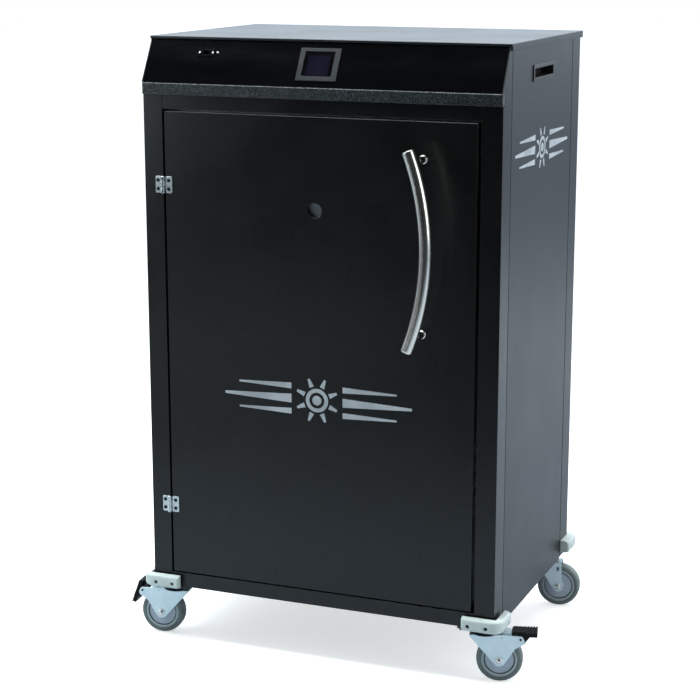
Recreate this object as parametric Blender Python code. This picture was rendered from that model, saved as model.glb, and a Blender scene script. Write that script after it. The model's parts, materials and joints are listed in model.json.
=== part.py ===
"""UV sterilizer cabinet: a sheet-metal tool cabinet on four swivel casters.

Metres, +Z up, -Y is the front. The cabinet is modelled around an empty that stands on the
floor under the middle of its body; the empty is set back and aside so that the world's
origin lies on the floor under the middle of the whole outline, handle and pedals included.
"""

import math

import bmesh
import bpy
from mathutils import Matrix, Vector

# Driving dimensions of the body.
WIDTH = 0.760
DEPTH = 0.544
BODY_BOTTOM = 0.120
LID_TOP = 1.278
SHEET = 0.002
GAP = 0.0003
SEAM = 0.0026

HALF = WIDTH / 2
FRONT = -DEPTH / 2
REAR = DEPTH / 2
LEFT, RIGHT = -1, 1

# Front frame.
POST_FACE = 0.042
POST_SIDE = 0.054
POST_RETURN = 0.027
OPENING_HALF = HALF - POST_FACE
BOTTOM_RAIL_TOP = 0.152
TOP_RAIL_BOTTOM = 1.135

# Sloped console above the door.
STRIP_BOTTOM = 1.1636
STRIP_TOP = 1.1874
STRIP_PROUD = 0.005
STRIP_DEEP = 0.015
SLOPE_LOW = Vector((0.0, FRONT - STRIP_PROUD, STRIP_TOP))
SLOPE_HIGH = Vector((0.0, FRONT + 0.043, 1.272))
CONSOLE_SHEET = 0.003

# Lid.
LID_SHEET = 0.0025
LID_SIDE_PROUD = 0.003
LID_LIP = 0.014
LID_FRONT_LIP = 0.0055
LID_REAR_PROUD = 0.010

# Side panels, back panel and their openings.
SIDE_BOTTOM = 0.117
BACK_FLANGE = 0.058
PANEL_TOP = LID_TOP - LID_SHEET - 0.0005
GRIP_SIZE = (0.146, 0.033)
GRIP_CENTRE = (-0.007, 1.212)
GRIP_RIM = 0.0055
GRIP_DEEP = 0.026
VENT_ROWS = 8
VENT_PITCH = 0.016
VENT_SIZE = (0.180, 0.006)
VENT_LOW = 1.060

# Door.
DOOR_LEFT, DOOR_RIGHT = -0.334, 0.331
DOOR_BOTTOM, DOOR_TOP = 0.1546, 1.131
DOOR_DEEP = 0.023
DOOR_SHEET = 0.0015
DOOR_BACK = FRONT + DOOR_DEEP
SEAL_HALF = 0.318
SEAL_WIDE = 0.012
WINDOW_CENTRE = (-0.0055, 0.946)
WINDOW_RADIUS = 0.0162
WINDOW_SEAT = 0.010

# Handle.
HANDLE_REACH = 0.065
HANDLE_RADIUS = 0.012
HANDLE_MID = (0.250, 0.8865)
HANDLE_CHORD = 0.395
HANDLE_BOW = 0.037
STANDOFF_RADIUS = 0.0065
STANDOFF_APART = 0.343
HANDLE_SEGMENTS = 16

# Hinges.
HINGE_AXIS = (-0.338, FRONT - 0.005)
HINGE_HEIGHTS = (0.982, 0.304)
HINGE_TALL = 0.034
FRAME_LEAF_WIDE = 0.0168
DOOR_LEAF_WIDE = 0.0205
LEAF_THICK = 0.0025
KNUCKLE_RADIUS = 0.0046
PIN_RADIUS = 0.002
KNUCKLE_MIDDLE = 0.0135

# Chamber.
LINER_HALF = 0.322
LINER_BOTTOM, LINER_TOP = 0.158, 1.128
LINER_BACK = 0.175
LINER_SHEET = 0.0015
FLANGE_HALF = 0.352
FLANGE_Y = FRONT + 0.0313
SHELF_COUNT = 3
SHELF_FRONT, SHELF_BACK = -0.222, 0.095
SHELF_SHEET = 0.0012
SHELF_LIP = 0.012
SLOT_COUNT = 9
SLOT_WIDE = 0.018
LEDGE = 0.009

# Lamps: two 26 mm germicidal tubes, 895 mm long.
LAMP_RADIUS = 0.013
LAMP_LONG = 0.895
LAMP_APART = 0.064
LAMP_Y = 0.128
LAMP_BOTTOM = 0.196

# Corner guards.
GUARD_LOW, GUARD_HIGH = 0.120, 0.147
REAR_GUARD_RAISE = 0.010
GUARD_THICK = 0.020
GUARD_FRONT_ARM = 0.084
GUARD_SIDE_ARM = 0.074
GUARD_CORNER = 0.022
GUARD_ROUND = 0.005

# Casters. Each is modelled about its swivel axis, trailing towards its own +X.
FRONT_SWIVEL = (0.350, 0.2305)
REAR_SWIVEL = (0.344, 0.2375)
FRONT_RIGHT_YAW = math.radians(14.9)
FRONT_LEFT_YAW = math.radians(180 + 7.1)
REAR_RIGHT_YAW = math.radians(8.9)
REAR_LEFT_YAW = math.pi - REAR_RIGHT_YAW
TRAIL = 0.029
WHEEL_RADIUS = 0.0475
WHEEL_WIDE = 0.031
HUB_RADIUS = 0.0372
HUB_GROOVE = 0.0305
AXLE_RADIUS = 0.004
CROWN_LOW, CROWN_HIGH = 0.0990, 0.1010
FRONT_CROWN_START = TRAIL - 0.0610
REAR_CROWN_START, REAR_CROWN_END = TRAIL - 0.0500, TRAIL + 0.0062
LEG_INNER, LEG_OUTER = 0.0175, 0.0200
LEG_TIP_RADIUS = 0.0125
PLATE_SHEET = 0.003
PLATE_INNER, PLATE_OUTER, PLATE_WIDE = 0.048, 0.0272, 0.042
RACE_RISE = 0.0036
WHEEL_SEGMENTS = 32

# Brake pedal, about its pivot pin.
PEDAL_PIVOT = (TRAIL + 0.0422, 0.0945)
PEDAL_TIP = (0.0335, 0.0150)
PEDAL_HALF = 0.0200
PEDAL_TRAVEL = math.radians(71)

# How far the outline reaches from the middle of the body. The front-most point is the
# handle and the rear-most the guards; to the sides it is the tips of the brake pedals, the
# right one raised and the left one pressed.
FRONT_REACH = DEPTH / 2 + HANDLE_REACH + HANDLE_RADIUS
REAR_REACH = DEPTH / 2 + GUARD_THICK
PRESSED_TIP = PEDAL_TIP[0] * math.cos(PEDAL_TRAVEL) + PEDAL_TIP[1] * math.sin(PEDAL_TRAVEL)


def side_reach(yaw, tip_x):
    """Outermost x of a front pedal whose tip stands tip_x beyond its pin."""
    along = abs(math.cos(yaw)) * (PEDAL_PIVOT[0] + tip_x)
    return FRONT_SWIVEL[0] + along + abs(math.sin(yaw)) * PEDAL_HALF


# Where the middle of the body stands, so that the whole outline is centred on the origin.
SET_BACK = (FRONT_REACH - REAR_REACH) / 2
LEFT_REACH = side_reach(FRONT_LEFT_YAW, PRESSED_TIP)
RIGHT_REACH = side_reach(FRONT_RIGHT_YAW, PEDAL_TIP[0])
SET_ASIDE = (LEFT_REACH - RIGHT_REACH) / 2


# ---------------------------------------------------------------- mesh helpers

def finish_mesh(bm):
    """Turn a bmesh into a mesh with its faces pointing out."""
    bmesh.ops.recalc_face_normals(bm, faces=bm.faces)
    mesh = bpy.data.meshes.new("shape")
    bm.to_mesh(mesh)
    bm.free()
    return mesh


def block(low, high):
    """Box between two corners."""
    bm = bmesh.new()
    size = Vector(high) - Vector(low)
    middle = (Vector(high) + Vector(low)) / 2
    bmesh.ops.create_cube(bm, size=1, matrix=Matrix.Translation(middle) @ Matrix.Diagonal((*size, 1)))
    return finish_mesh(bm)


def place(axis, along, across):
    """Point at `along` on an axis, with the other two coordinates given in X, Y, Z order."""
    point = list(across)
    point.insert("xyz".index(axis), along)
    return point


def prism(outline, axis, start, end):
    """Solid with a flat outline, pushed along an axis from start to end."""
    bm = bmesh.new()
    near = [bm.verts.new(place(axis, start, point)) for point in outline]
    far = [bm.verts.new(place(axis, end, point)) for point in outline]
    bm.faces.new(near)
    bm.faces.new(far[::-1])
    count = len(outline)
    for i in range(count):
        j = (i + 1) % count
        bm.faces.new((near[j], near[i], far[i], far[j]))
    return finish_mesh(bm)


def arc(centre, radius, start_deg, end_deg, steps):
    """Points along an arc, both ends included."""
    points = []
    for i in range(steps + 1):
        angle = math.radians(start_deg + (end_deg - start_deg) * i / steps)
        points.append((centre[0] + radius * math.cos(angle), centre[1] + radius * math.sin(angle)))
    return points


def rod(start, end, radius, segments=16):
    """Round bar between two points."""
    bm = bmesh.new()
    start, end = Vector(start), Vector(end)
    turn = (end - start).to_track_quat("Z", "Y").to_matrix().to_4x4()
    bmesh.ops.create_cone(bm, cap_ends=True, segments=segments, radius1=radius, radius2=radius,
                          depth=(end - start).length, matrix=Matrix.Translation((start + end) / 2) @ turn)
    return finish_mesh(bm)


def turned_ring(profile, segments):
    """Closed profile of (radius, y) pairs, turned about the Y axis."""
    bm = bmesh.new()
    rings = []
    for i in range(segments):
        angle = 2 * math.pi * i / segments
        rings.append([bm.verts.new((r * math.sin(angle), y, r * math.cos(angle))) for r, y in profile])
    count = len(profile)
    for i in range(segments):
        ring, following = rings[i], rings[(i + 1) % segments]
        for j in range(count):
            k = (j + 1) % count
            bm.faces.new((ring[j], following[j], following[k], ring[k]))
    return finish_mesh(bm)


def combine(base, tool, operation):
    """Boolean of two meshes, as a new mesh."""
    objects = [bpy.data.objects.new("operand", mesh) for mesh in (base, tool)]
    for item in objects:
        bpy.context.collection.objects.link(item)
    modifier = objects[0].modifiers.new("Boolean", "BOOLEAN")
    modifier.solver = "EXACT"
    modifier.operation = operation
    modifier.object = objects[1]
    depsgraph = bpy.context.evaluated_depsgraph_get()
    result = bpy.data.meshes.new_from_object(objects[0].evaluated_get(depsgraph))
    for item in objects:
        bpy.data.objects.remove(item)
    return result


def joined(base, *others):
    """Union of several meshes."""
    for other in others:
        base = combine(base, other, "UNION")
    return base


def carved(base, *cutters):
    """Mesh with each cutter taken away."""
    for cutter in cutters:
        base = combine(base, cutter, "DIFFERENCE")
    return base


def moved(mesh, matrix):
    """Mesh put through a transform."""
    mesh.transform(matrix)
    if matrix.determinant() < 0:
        mesh.flip_normals()
    return mesh


def mirrored_x(mesh):
    """Mesh reflected from the right side to the left."""
    return moved(mesh, Matrix.Diagonal((-1, 1, 1, 1)))


def soften(mesh, width, segments=1, angle_deg=60):
    """Round the sharp outer edges of a mesh; inner corners stay as they are."""
    bm = bmesh.new()
    bm.from_mesh(mesh)
    limit = math.radians(angle_deg)
    edges = [edge for edge in bm.edges if edge.is_convex and edge.calc_face_angle(0) > limit]
    bmesh.ops.bevel(bm, geom=edges, offset=width, segments=segments, profile=0.5, affect="EDGES")
    return finish_mesh(bm)


# ---------------------------------------------------------------- scene helpers

def clear_scene():
    for item in list(bpy.data.objects):
        bpy.data.objects.remove(item)


def anchor(name, location, parent=None, yaw=0.0):
    """Empty that carries other objects."""
    empty = bpy.data.objects.new(name, None)
    empty.location = location
    empty.rotation_euler = (0, 0, yaw)
    empty.parent = parent
    bpy.context.collection.objects.link(empty)
    return empty


def material(name, colour, roughness, metallic=0.0):
    """Principled material, made once."""
    found = bpy.data.materials.get(name)
    if found:
        return found
    made = bpy.data.materials.new(name)
    made.use_nodes = True
    shader = made.node_tree.nodes["Principled BSDF"]
    shader.inputs["Base Color"].default_value = (*colour, 1)
    shader.inputs["Roughness"].default_value = roughness
    shader.inputs["Metallic"].default_value = metallic
    return made


def black_powder_coat():
    return material("black_powder_coat", (0.020, 0.024, 0.028), 0.45)


def gloss_black():
    return material("gloss_black", (0.004, 0.004, 0.005), 0.08)


def bezel_plastic():
    return material("bezel_plastic", (0.045, 0.048, 0.052), 0.35)


def screen_glass():
    return material("screen_glass", (0.010, 0.010, 0.018), 0.05)


def brushed_steel():
    return material("brushed_steel", (0.62, 0.62, 0.61), 0.30, 1.0)


def chamber_steel():
    return material("chamber_steel", (0.55, 0.56, 0.57), 0.28, 1.0)


def zinc_plate():
    return material("zinc_plate", (0.60, 0.70, 0.74), 0.35, 1.0)


def hinge_nickel():
    return material("hinge_nickel", (0.56, 0.58, 0.58), 0.30, 1.0)


def guard_plastic():
    return material("guard_plastic", (0.56, 0.62, 0.60), 0.50)


def tyre_rubber():
    return material("tyre_rubber", (0.105, 0.125, 0.120), 0.70)


def hub_plastic():
    return material("hub_plastic", (0.27, 0.31, 0.35), 0.45)


def black_plastic():
    return material("black_plastic", (0.012, 0.012, 0.013), 0.50)


def seal_rubber():
    return material("seal_rubber", (0.03, 0.03, 0.032), 0.75)


def window_grey():
    return material("window_grey", (0.30, 0.33, 0.34), 0.10)


def lamp_quartz():
    return material("lamp_quartz", (0.80, 0.84, 0.90), 0.08)


def enamel_white():
    return material("enamel_white", (0.75, 0.76, 0.76), 0.40)


def add(name, mesh, finish, parent, origin=None):
    """Put a mesh, given in its parent's frame, into the scene about a chosen origin."""
    if origin is None:
        low = Vector([min(v.co[i] for v in mesh.vertices) for i in range(3)])
        high = Vector([max(v.co[i] for v in mesh.vertices) for i in range(3)])
        origin = (low + high) / 2
    origin = Vector(origin)
    mesh.transform(Matrix.Translation(-origin))
    mesh.name = name
    mesh.materials.clear()
    mesh.materials.append(finish)
    mesh.shade_smooth()
    mesh.set_sharp_from_angle(angle=math.radians(30))
    item = bpy.data.objects.new(name, mesh)
    item.location = origin
    item.parent = parent
    bpy.context.collection.objects.link(item)
    return item


# ---------------------------------------------------------------- body shell

def slope_point(along, lift=0.0):
    """(y, z) on the console's outer face, `along` metres up the slope and `lift` off it."""
    direction = (SLOPE_HIGH - SLOPE_LOW).normalized()
    normal = Vector((0, -direction.z, direction.y))
    point = SLOPE_LOW + direction * along + normal * lift
    return point.y, point.z


def slope_length():
    return (SLOPE_HIGH - SLOPE_LOW).length


def slope_matrix():
    """Frame of the console face: X across, Y up the slope, Z off the face."""
    direction = (SLOPE_HIGH - SLOPE_LOW).normalized()
    normal = Vector((0, -direction.z, direction.y))
    turn = Matrix((Vector((1, 0, 0)), direction, normal)).transposed().to_4x4()
    return Matrix.Translation(SLOPE_LOW) @ turn


def front_post_mesh():
    """Right front post: a folded channel whose side runs up as the console's cheek."""
    inner = OPENING_HALF
    channel = prism([
        (inner, FRONT), (HALF - SHEET / 2, FRONT), (HALF - SHEET / 2, FRONT + SHEET),
        (inner + SHEET, FRONT + SHEET), (inner + SHEET, FRONT + POST_RETURN), (inner, FRONT + POST_RETURN),
    ], "z", BODY_BOTTOM, STRIP_BOTTOM - GAP)
    back = FRONT + POST_SIDE
    strip_back = FRONT - STRIP_PROUD + STRIP_DEEP + GAP
    edge = 0.0008
    cheek = prism([
        (FRONT, BODY_BOTTOM), (back, BODY_BOTTOM), (back, PANEL_TOP), (SLOPE_HIGH.y + 0.003, PANEL_TOP),
        slope_point(slope_length(), edge), slope_point(GAP, edge), slope_point(GAP, 0),
        (strip_back, STRIP_TOP + GAP), (strip_back, STRIP_BOTTOM - GAP), (FRONT, STRIP_BOTTOM - GAP),
    ], "x", HALF - SHEET, HALF)
    return joined(cheek, channel)


def rail_mesh(low, high):
    """Front rail: a channel that opens to the back."""
    deep = FRONT + POST_RETURN
    outline = [
        (FRONT, low), (deep, low), (deep, low + SHEET), (FRONT + SHEET, low + SHEET),
        (FRONT + SHEET, high - SHEET), (deep, high - SHEET), (deep, high), (FRONT, high),
    ]
    return prism(outline, "x", -OPENING_HALF + GAP, OPENING_HALF - GAP)


def grip_opening(extra):
    """Half sizes of the hole that a side grip fills, plus some room."""
    return GRIP_SIZE[0] / 2 - GRIP_RIM + extra, GRIP_SIZE[1] / 2 - GRIP_RIM + extra


def side_panel_mesh():
    """Right side panel with the hole for its grip."""
    low = (HALF - SHEET, FRONT + POST_SIDE + SEAM, SIDE_BOTTOM)
    high = (HALF, REAR - BACK_FLANGE - SEAM, PANEL_TOP)
    half_y, half_z = grip_opening(GAP)
    hole = block((HALF - 0.01, GRIP_CENTRE[0] - half_y, GRIP_CENTRE[1] - half_z),
                 (HALF + 0.01, GRIP_CENTRE[0] + half_y, GRIP_CENTRE[1] + half_z))
    return carved(block(low, high), hole)


def grip_mesh():
    """Right recessed grip: a rim outside the panel and a pocket inside it."""
    half_y, half_z = grip_opening(0)
    rim_y, rim_z = GRIP_SIZE[0] / 2, GRIP_SIZE[1] / 2
    y, z = GRIP_CENTRE
    rim = block((HALF + GAP, y - rim_y, z - rim_z), (HALF + GAP + SHEET, y + rim_y, z + rim_z))
    well = block((HALF - GRIP_DEEP, y - half_y, z - half_z), (HALF + SHEET, y + half_y, z + half_z))
    hollow = block((HALF - GRIP_DEEP + SHEET, y - half_y + SHEET, z - half_z + SHEET),
                   (HALF + 0.01, y + half_y - SHEET, z + half_z - SHEET))
    return carved(joined(rim, well), hollow)


def inlet_centre():
    """(x, z) of the mains inlet on the back panel."""
    return 0.230, 0.235


def back_panel_mesh():
    """Back panel folded around both rear corners, with vents and the inlet's hole."""
    fold = REAR - BACK_FLANGE
    shell = prism([
        (-HALF, fold), (-HALF + SHEET, fold), (-HALF + SHEET, REAR - SHEET), (HALF - SHEET, REAR - SHEET),
        (HALF - SHEET, fold), (HALF, fold), (HALF, REAR), (-HALF, REAR),
    ], "z", BODY_BOTTOM, PANEL_TOP)
    for side in (LEFT, RIGHT):
        for row in range(VENT_ROWS):
            x = side * 0.150
            z = VENT_LOW + row * VENT_PITCH
            vent = block((x - VENT_SIZE[0] / 2, REAR - 0.01, z - VENT_SIZE[1] / 2),
                         (x + VENT_SIZE[0] / 2, REAR + 0.01, z + VENT_SIZE[1] / 2))
            shell = carved(shell, vent)
    x, z = inlet_centre()
    hole = block((x - 0.0145, REAR - 0.01, z - 0.030), (x + 0.0145, REAR + 0.01, z + 0.030))
    return carved(shell, hole)


def base_pan_mesh():
    """Floor of the body, folded up at its back edge."""
    low_y = FRONT + POST_RETURN + GAP
    high_y = REAR - SHEET - GAP
    side = HALF - SHEET - GAP
    floor = block((-side, low_y, BODY_BOTTOM), (side, high_y, BODY_BOTTOM + 0.003))
    fold = block((-side, high_y - SHEET, BODY_BOTTOM), (side, high_y, BODY_BOTTOM + 0.025))
    return joined(floor, fold)


def lid_mesh():
    """Lid with lips turned down all round, shorter above the console."""
    side = HALF + LID_SIDE_PROUD
    front = SLOPE_HIGH.y - 0.002
    rear = REAR + LID_REAR_PROUD
    skin = block((-side, front, LID_TOP - LID_LIP), (side, rear, LID_TOP))
    hollow = block((-side + SHEET, front + SHEET, 0), (side - SHEET, rear - SHEET, LID_TOP - LID_SHEET))
    notch = block((-1, FRONT, 0), (1, front + 2 * SHEET, LID_TOP - LID_FRONT_LIP))
    return soften(carved(skin, hollow, notch), 0.0008)


def header_strip_mesh():
    """Bar along the foot of the console, standing proud of the front."""
    low = (-HALF, FRONT - STRIP_PROUD, STRIP_BOTTOM)
    high = (HALF, FRONT - STRIP_PROUD + STRIP_DEEP, STRIP_TOP)
    return soften(block(low, high), 0.0015, 2)


DISPLAY = {"low": (-0.046, 0.0135), "high": (0.040, 0.0845)}
DISPLAY_OPENING = {"low": (-0.035, 0.024), "high": (0.028, 0.077)}
BEZEL_PROUD = 0.0022


def control_panel_mesh():
    """Sloped console face with the display's cut-out."""
    side = HALF - SHEET - GAP
    length = slope_length() - 0.0015
    face = block((-side, 0.0021, -CONSOLE_SHEET), (side, length, -0.0002))
    low, high = DISPLAY_OPENING["low"], DISPLAY_OPENING["high"]
    hole = block((low[0], low[1], -0.01), (high[0], high[1], 0.01))
    port = block((-0.2585, 0.0615, -0.01), (-0.2425, 0.0745, 0.01))
    return moved(carved(face, hole, port), slope_matrix())


def display_bezel_mesh():
    """Frame around the display, with an outward chamfer."""
    low, high = DISPLAY["low"], DISPLAY["high"]
    frame = soften(block((*low, 0.0001), (*high, BEZEL_PROUD)), 0.0009)
    low, high = DISPLAY_OPENING["low"], DISPLAY_OPENING["high"]
    hole = block((*low, -0.01), (*high, 0.01))
    return moved(carved(frame, hole), slope_matrix())


def display_screen_mesh():
    """Display module, set back inside its bezel."""
    low, high = DISPLAY_OPENING["low"], DISPLAY_OPENING["high"]
    module_top = BEZEL_PROUD - 0.0012
    module = block((low[0] + GAP, low[1] + GAP, -0.008), (high[0] - GAP, high[1] - GAP, module_top))
    return moved(module, slope_matrix())


def service_port_mesh():
    """Small connector plate beside the display."""
    plate = block((-0.269, 0.060, 0.0001), (-0.231, 0.076, 0.0013))
    shell = block((-0.2582, 0.0618, -0.007), (-0.2428, 0.0742, 0.0013))
    socket = block((-0.2565, 0.0635, -0.005), (-0.2445, 0.0725, 0.01))
    return moved(carved(joined(plate, shell), socket), slope_matrix())


def guard_mesh():
    """Front right corner guard: an L that hugs the corner, rounded outside."""
    out_x = HALF + GUARD_THICK
    out_y = FRONT - GUARD_THICK
    start_x = out_x - GUARD_FRONT_ARM
    end_y = out_y + GUARD_SIDE_ARM
    corner = arc((out_x - GUARD_CORNER, out_y + GUARD_CORNER), GUARD_CORNER, -90, 0, 6)
    outline = [(start_x, FRONT - GAP), (start_x, out_y)] + corner
    outline += [(out_x, end_y), (HALF + GAP, end_y), (HALF + GAP, FRONT - GAP)]
    return soften(prism(outline, "z", GUARD_LOW, GUARD_HIGH), GUARD_ROUND, 2)


# ---------------------------------------------------------------- chamber

def shelf_heights():
    """Underside height of each shelf, lowest first."""
    pitch = (LINER_TOP - LINER_BOTTOM) / (SHELF_COUNT + 1)
    return [LINER_BOTTOM + pitch * (i + 1) for i in range(SHELF_COUNT)]


def chamber_liner_mesh():
    """Open-fronted steel box with a front flange and ledges for the shelves."""
    box = block((-LINER_HALF, FLANGE_Y, LINER_BOTTOM), (LINER_HALF, LINER_BACK, LINER_TOP))
    flange = block((-FLANGE_HALF, FLANGE_Y, LINER_BOTTOM - 0.030),
                   (FLANGE_HALF, FLANGE_Y + LINER_SHEET, LINER_TOP + 0.030))
    inside = LINER_HALF - LINER_SHEET
    hollow = block((-inside, FLANGE_Y - 0.01, LINER_BOTTOM + LINER_SHEET),
                   (inside, LINER_BACK - LINER_SHEET, LINER_TOP - LINER_SHEET))
    liner = carved(joined(box, flange), hollow)
    for height in shelf_heights():
        for side in (LEFT, RIGHT):
            edges = sorted((side * (inside - LEDGE), side * (inside + LINER_SHEET / 2)))
            top = height - GAP
            ledge = block((edges[0], SHELF_FRONT, top - 0.004), (edges[1], SHELF_BACK, top))
            liner = joined(liner, ledge)
    return liner


def shelf_mesh(height):
    """Slotted shelf with its front and back edges turned down."""
    half = LINER_HALF - LINER_SHEET - 0.001
    plate = block((-half, SHELF_FRONT, height), (half, SHELF_BACK, height + SHELF_SHEET))
    lip_half = half - LEDGE - 0.001
    for y in (SHELF_FRONT, SHELF_BACK - SHELF_SHEET):
        lip = block((-lip_half, y, height - SHELF_LIP), (lip_half, y + SHELF_SHEET, height + SHELF_SHEET))
        plate = joined(plate, lip)
    pitch = 2 * lip_half / SLOT_COUNT
    for i in range(SLOT_COUNT):
        x = -lip_half + pitch * (i + 0.5)
        slot = block((x - SLOT_WIDE / 2, SHELF_FRONT + 0.030, height - 0.02),
                     (x + SLOT_WIDE / 2, SHELF_BACK - 0.030, height + 0.02))
        plate = carved(plate, slot)
    return plate


def lamp_batten_mesh():
    """Twin lamp fitting: a back channel with a holder block at each end."""
    top = LAMP_BOTTOM + LAMP_LONG
    spine = block((-0.058, LINER_BACK - LINER_SHEET - 0.018, LAMP_BOTTOM - 0.020),
                  (0.058, LINER_BACK - LINER_SHEET - GAP, top + 0.020))
    blocks = []
    for low, high in ((LAMP_BOTTOM - 0.020, LAMP_BOTTOM - GAP), (top + GAP, top + 0.020)):
        blocks.append(block((-0.058, LAMP_Y - 0.017, low), (0.058, LINER_BACK - 0.010, high)))
    return joined(spine, *blocks)


def lamp_mesh(side):
    """Germicidal tube with a metal cap at each end."""
    x = side * LAMP_APART / 2
    cap = 0.018
    top = LAMP_BOTTOM + LAMP_LONG
    tube = rod((x, LAMP_Y, LAMP_BOTTOM + cap / 2), (x, LAMP_Y, top - cap / 2), LAMP_RADIUS)
    caps = [
        rod((x, LAMP_Y, LAMP_BOTTOM), (x, LAMP_Y, LAMP_BOTTOM + cap), LAMP_RADIUS + 0.0005),
        rod((x, LAMP_Y, top - cap), (x, LAMP_Y, top), LAMP_RADIUS + 0.0005),
    ]
    return joined(tube, *caps)


def electronics_box_mesh():
    """Lamp ballast and control housing on top of the chamber."""
    return soften(block((-0.160, -0.120, LINER_TOP + GAP), (0.160, 0.080, LINER_TOP + 0.085)), 0.003)


def magnetic_catch_mesh():
    """Magnet block on the chamber's front flange, outside the door seal."""
    return soften(block((0.3215, FLANGE_Y - 0.0070, 0.925), (0.3300, FLANGE_Y - GAP, 0.985)), 0.001)


# ---------------------------------------------------------------- mains

def power_inlet_mesh():
    """Mains inlet: a socket above the rocker's well."""
    x, z = inlet_centre()
    flange = block((x - 0.022, REAR + GAP, z - 0.034), (x + 0.022, REAR + 0.003, z + 0.034))
    body = block((x - 0.0142, REAR - 0.030, z - 0.0297), (x + 0.0142, REAR + 0.001, z + 0.0297))
    socket = block((x - 0.012, REAR - 0.016, z + 0.004), (x + 0.012, REAR + 0.01, z + 0.021))
    well = block((x - 0.010, REAR - 0.016, z - 0.0265), (x + 0.010, REAR + 0.01, z - 0.0035))
    inlet = carved(joined(soften(flange, 0.0012), body), socket, well)
    pins = [
        block((x + dx - 0.001, REAR - 0.018, z + dz - 0.002), (x + dx + 0.001, REAR - 0.004, z + dz + 0.002))
        for dx, dz in ((-0.007, 0.0105), (0.0, 0.0145), (0.007, 0.0105))
    ]
    return joined(inlet, *pins)


ROCKER_HALF = (0.0092, 0.0102)
ROCKER_TILT = math.radians(7)


def rocker_pivot():
    x, z = inlet_centre()
    return Vector((x, REAR - 0.004, z - 0.015))


def power_rocker_mesh():
    """Rocker button about its pivot, with its two faces meeting in a shallow V."""
    half_x, half_z = ROCKER_HALF
    outline = [
        (-0.006, -half_z + 0.002), (0.0075, -half_z), (0.0055, 0), (0.0075, half_z), (-0.006, half_z - 0.002),
    ]
    button = prism(outline, "x", -half_x, half_x)
    return moved(button, Matrix.Rotation(-ROCKER_TILT, 4, "X"))


# ---------------------------------------------------------------- door

def door_shell_mesh():
    """Door skin: a tray open to the back, with a collared round window hole."""
    skin = soften(block((DOOR_LEFT, FRONT, DOOR_BOTTOM), (DOOR_RIGHT, DOOR_BACK, DOOR_TOP)), 0.0010)
    hollow = block((DOOR_LEFT + DOOR_SHEET, FRONT + DOOR_SHEET, DOOR_BOTTOM + DOOR_SHEET),
                   (DOOR_RIGHT - DOOR_SHEET, DOOR_BACK + 0.01, DOOR_TOP - DOOR_SHEET))
    x, z = WINDOW_CENTRE
    outer = WINDOW_RADIUS + DOOR_SHEET
    collar = rod((x, FRONT + DOOR_SHEET / 2, z), (x, FRONT + WINDOW_SEAT, z), outer, 32)
    hole = rod((x, FRONT - 0.01, z), (x, FRONT + WINDOW_SEAT + 0.01, z), WINDOW_RADIUS, 32)
    return carved(joined(carved(skin, hollow), collar), hole)


def door_inner_panel_mesh():
    """Plate that closes the back of the door, with a hole behind the window."""
    edge = DOOR_SHEET + GAP
    plate = block((DOOR_LEFT + edge, DOOR_BACK - 0.003, DOOR_BOTTOM + edge),
                  (DOOR_RIGHT - edge, DOOR_BACK, DOOR_TOP - edge))
    x, z = WINDOW_CENTRE
    hole = rod((x, DOOR_BACK - 0.01, z), (x, DOOR_BACK + 0.01, z), WINDOW_RADIUS - 0.003, 24)
    return carved(plate, hole)


def door_seal_mesh():
    """Rubber frame on the back of the door."""
    low_z, high_z = LINER_BOTTOM - 0.001, LINER_TOP - 0.001
    near = DOOR_BACK + GAP
    far = FLANGE_Y - GAP
    outer = block((-SEAL_HALF - 0.001, near, low_z), (SEAL_HALF + 0.001, far, high_z))
    inner = block((-SEAL_HALF + SEAL_WIDE, near - 0.01, low_z + SEAL_WIDE),
                  (SEAL_HALF - SEAL_WIDE, far + 0.01, high_z - SEAL_WIDE))
    return carved(outer, inner)


def window_glass_mesh():
    """Round pane behind the window's collar."""
    x, z = WINDOW_CENTRE
    start = FRONT + WINDOW_SEAT + GAP
    return rod((x, start, z), (x, start + 0.004, z), WINDOW_RADIUS + 0.004, 32)


def handle_curve_radius():
    return (HANDLE_CHORD ** 2 / 4 + HANDLE_BOW ** 2) / (2 * HANDLE_BOW)


def handle_x(height):
    """X of the bowed handle's centre line at a height."""
    radius = handle_curve_radius()
    rise = height - HANDLE_MID[1]
    return HANDLE_MID[0] - radius + math.sqrt(radius ** 2 - rise ** 2)


def handle_bar_mesh():
    """Tube bent to an arc in the plane parallel to the door, with flat ends."""
    bm = bmesh.new()
    radius = handle_curve_radius()
    centre = Vector((HANDLE_MID[0] - radius, FRONT - HANDLE_REACH, HANDLE_MID[1]))
    half_angle = math.asin(HANDLE_CHORD / 2 / radius)
    rings = []
    for i in range(HANDLE_SEGMENTS + 1):
        angle = half_angle * (2 * i / HANDLE_SEGMENTS - 1)
        out = Vector((math.cos(angle), 0, math.sin(angle)))
        ring = []
        for j in range(HANDLE_SEGMENTS):
            turn = 2 * math.pi * j / HANDLE_SEGMENTS
            offset = out * math.cos(turn) + Vector((0, 1, 0)) * math.sin(turn)
            ring.append(bm.verts.new(centre + out * radius + offset * HANDLE_RADIUS))
        rings.append(ring)
    for ring, following in zip(rings, rings[1:]):
        for j in range(HANDLE_SEGMENTS):
            k = (j + 1) % HANDLE_SEGMENTS
            bm.faces.new((ring[j], ring[k], following[k], following[j]))
    bm.faces.new(rings[0])
    bm.faces.new(rings[-1])
    return soften(finish_mesh(bm), 0.001)


def standoff_mesh(height):
    """Round post between the door skin and the handle."""
    x = handle_x(height)
    foot = FRONT - GAP
    tip = FRONT - HANDLE_REACH + HANDLE_RADIUS + GAP
    shaft = rod((x, foot, height), (x, tip, height), STANDOFF_RADIUS)
    base = rod((x, foot, height), (x, foot - 0.003, height), STANDOFF_RADIUS + 0.002)
    return joined(shaft, base)


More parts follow.
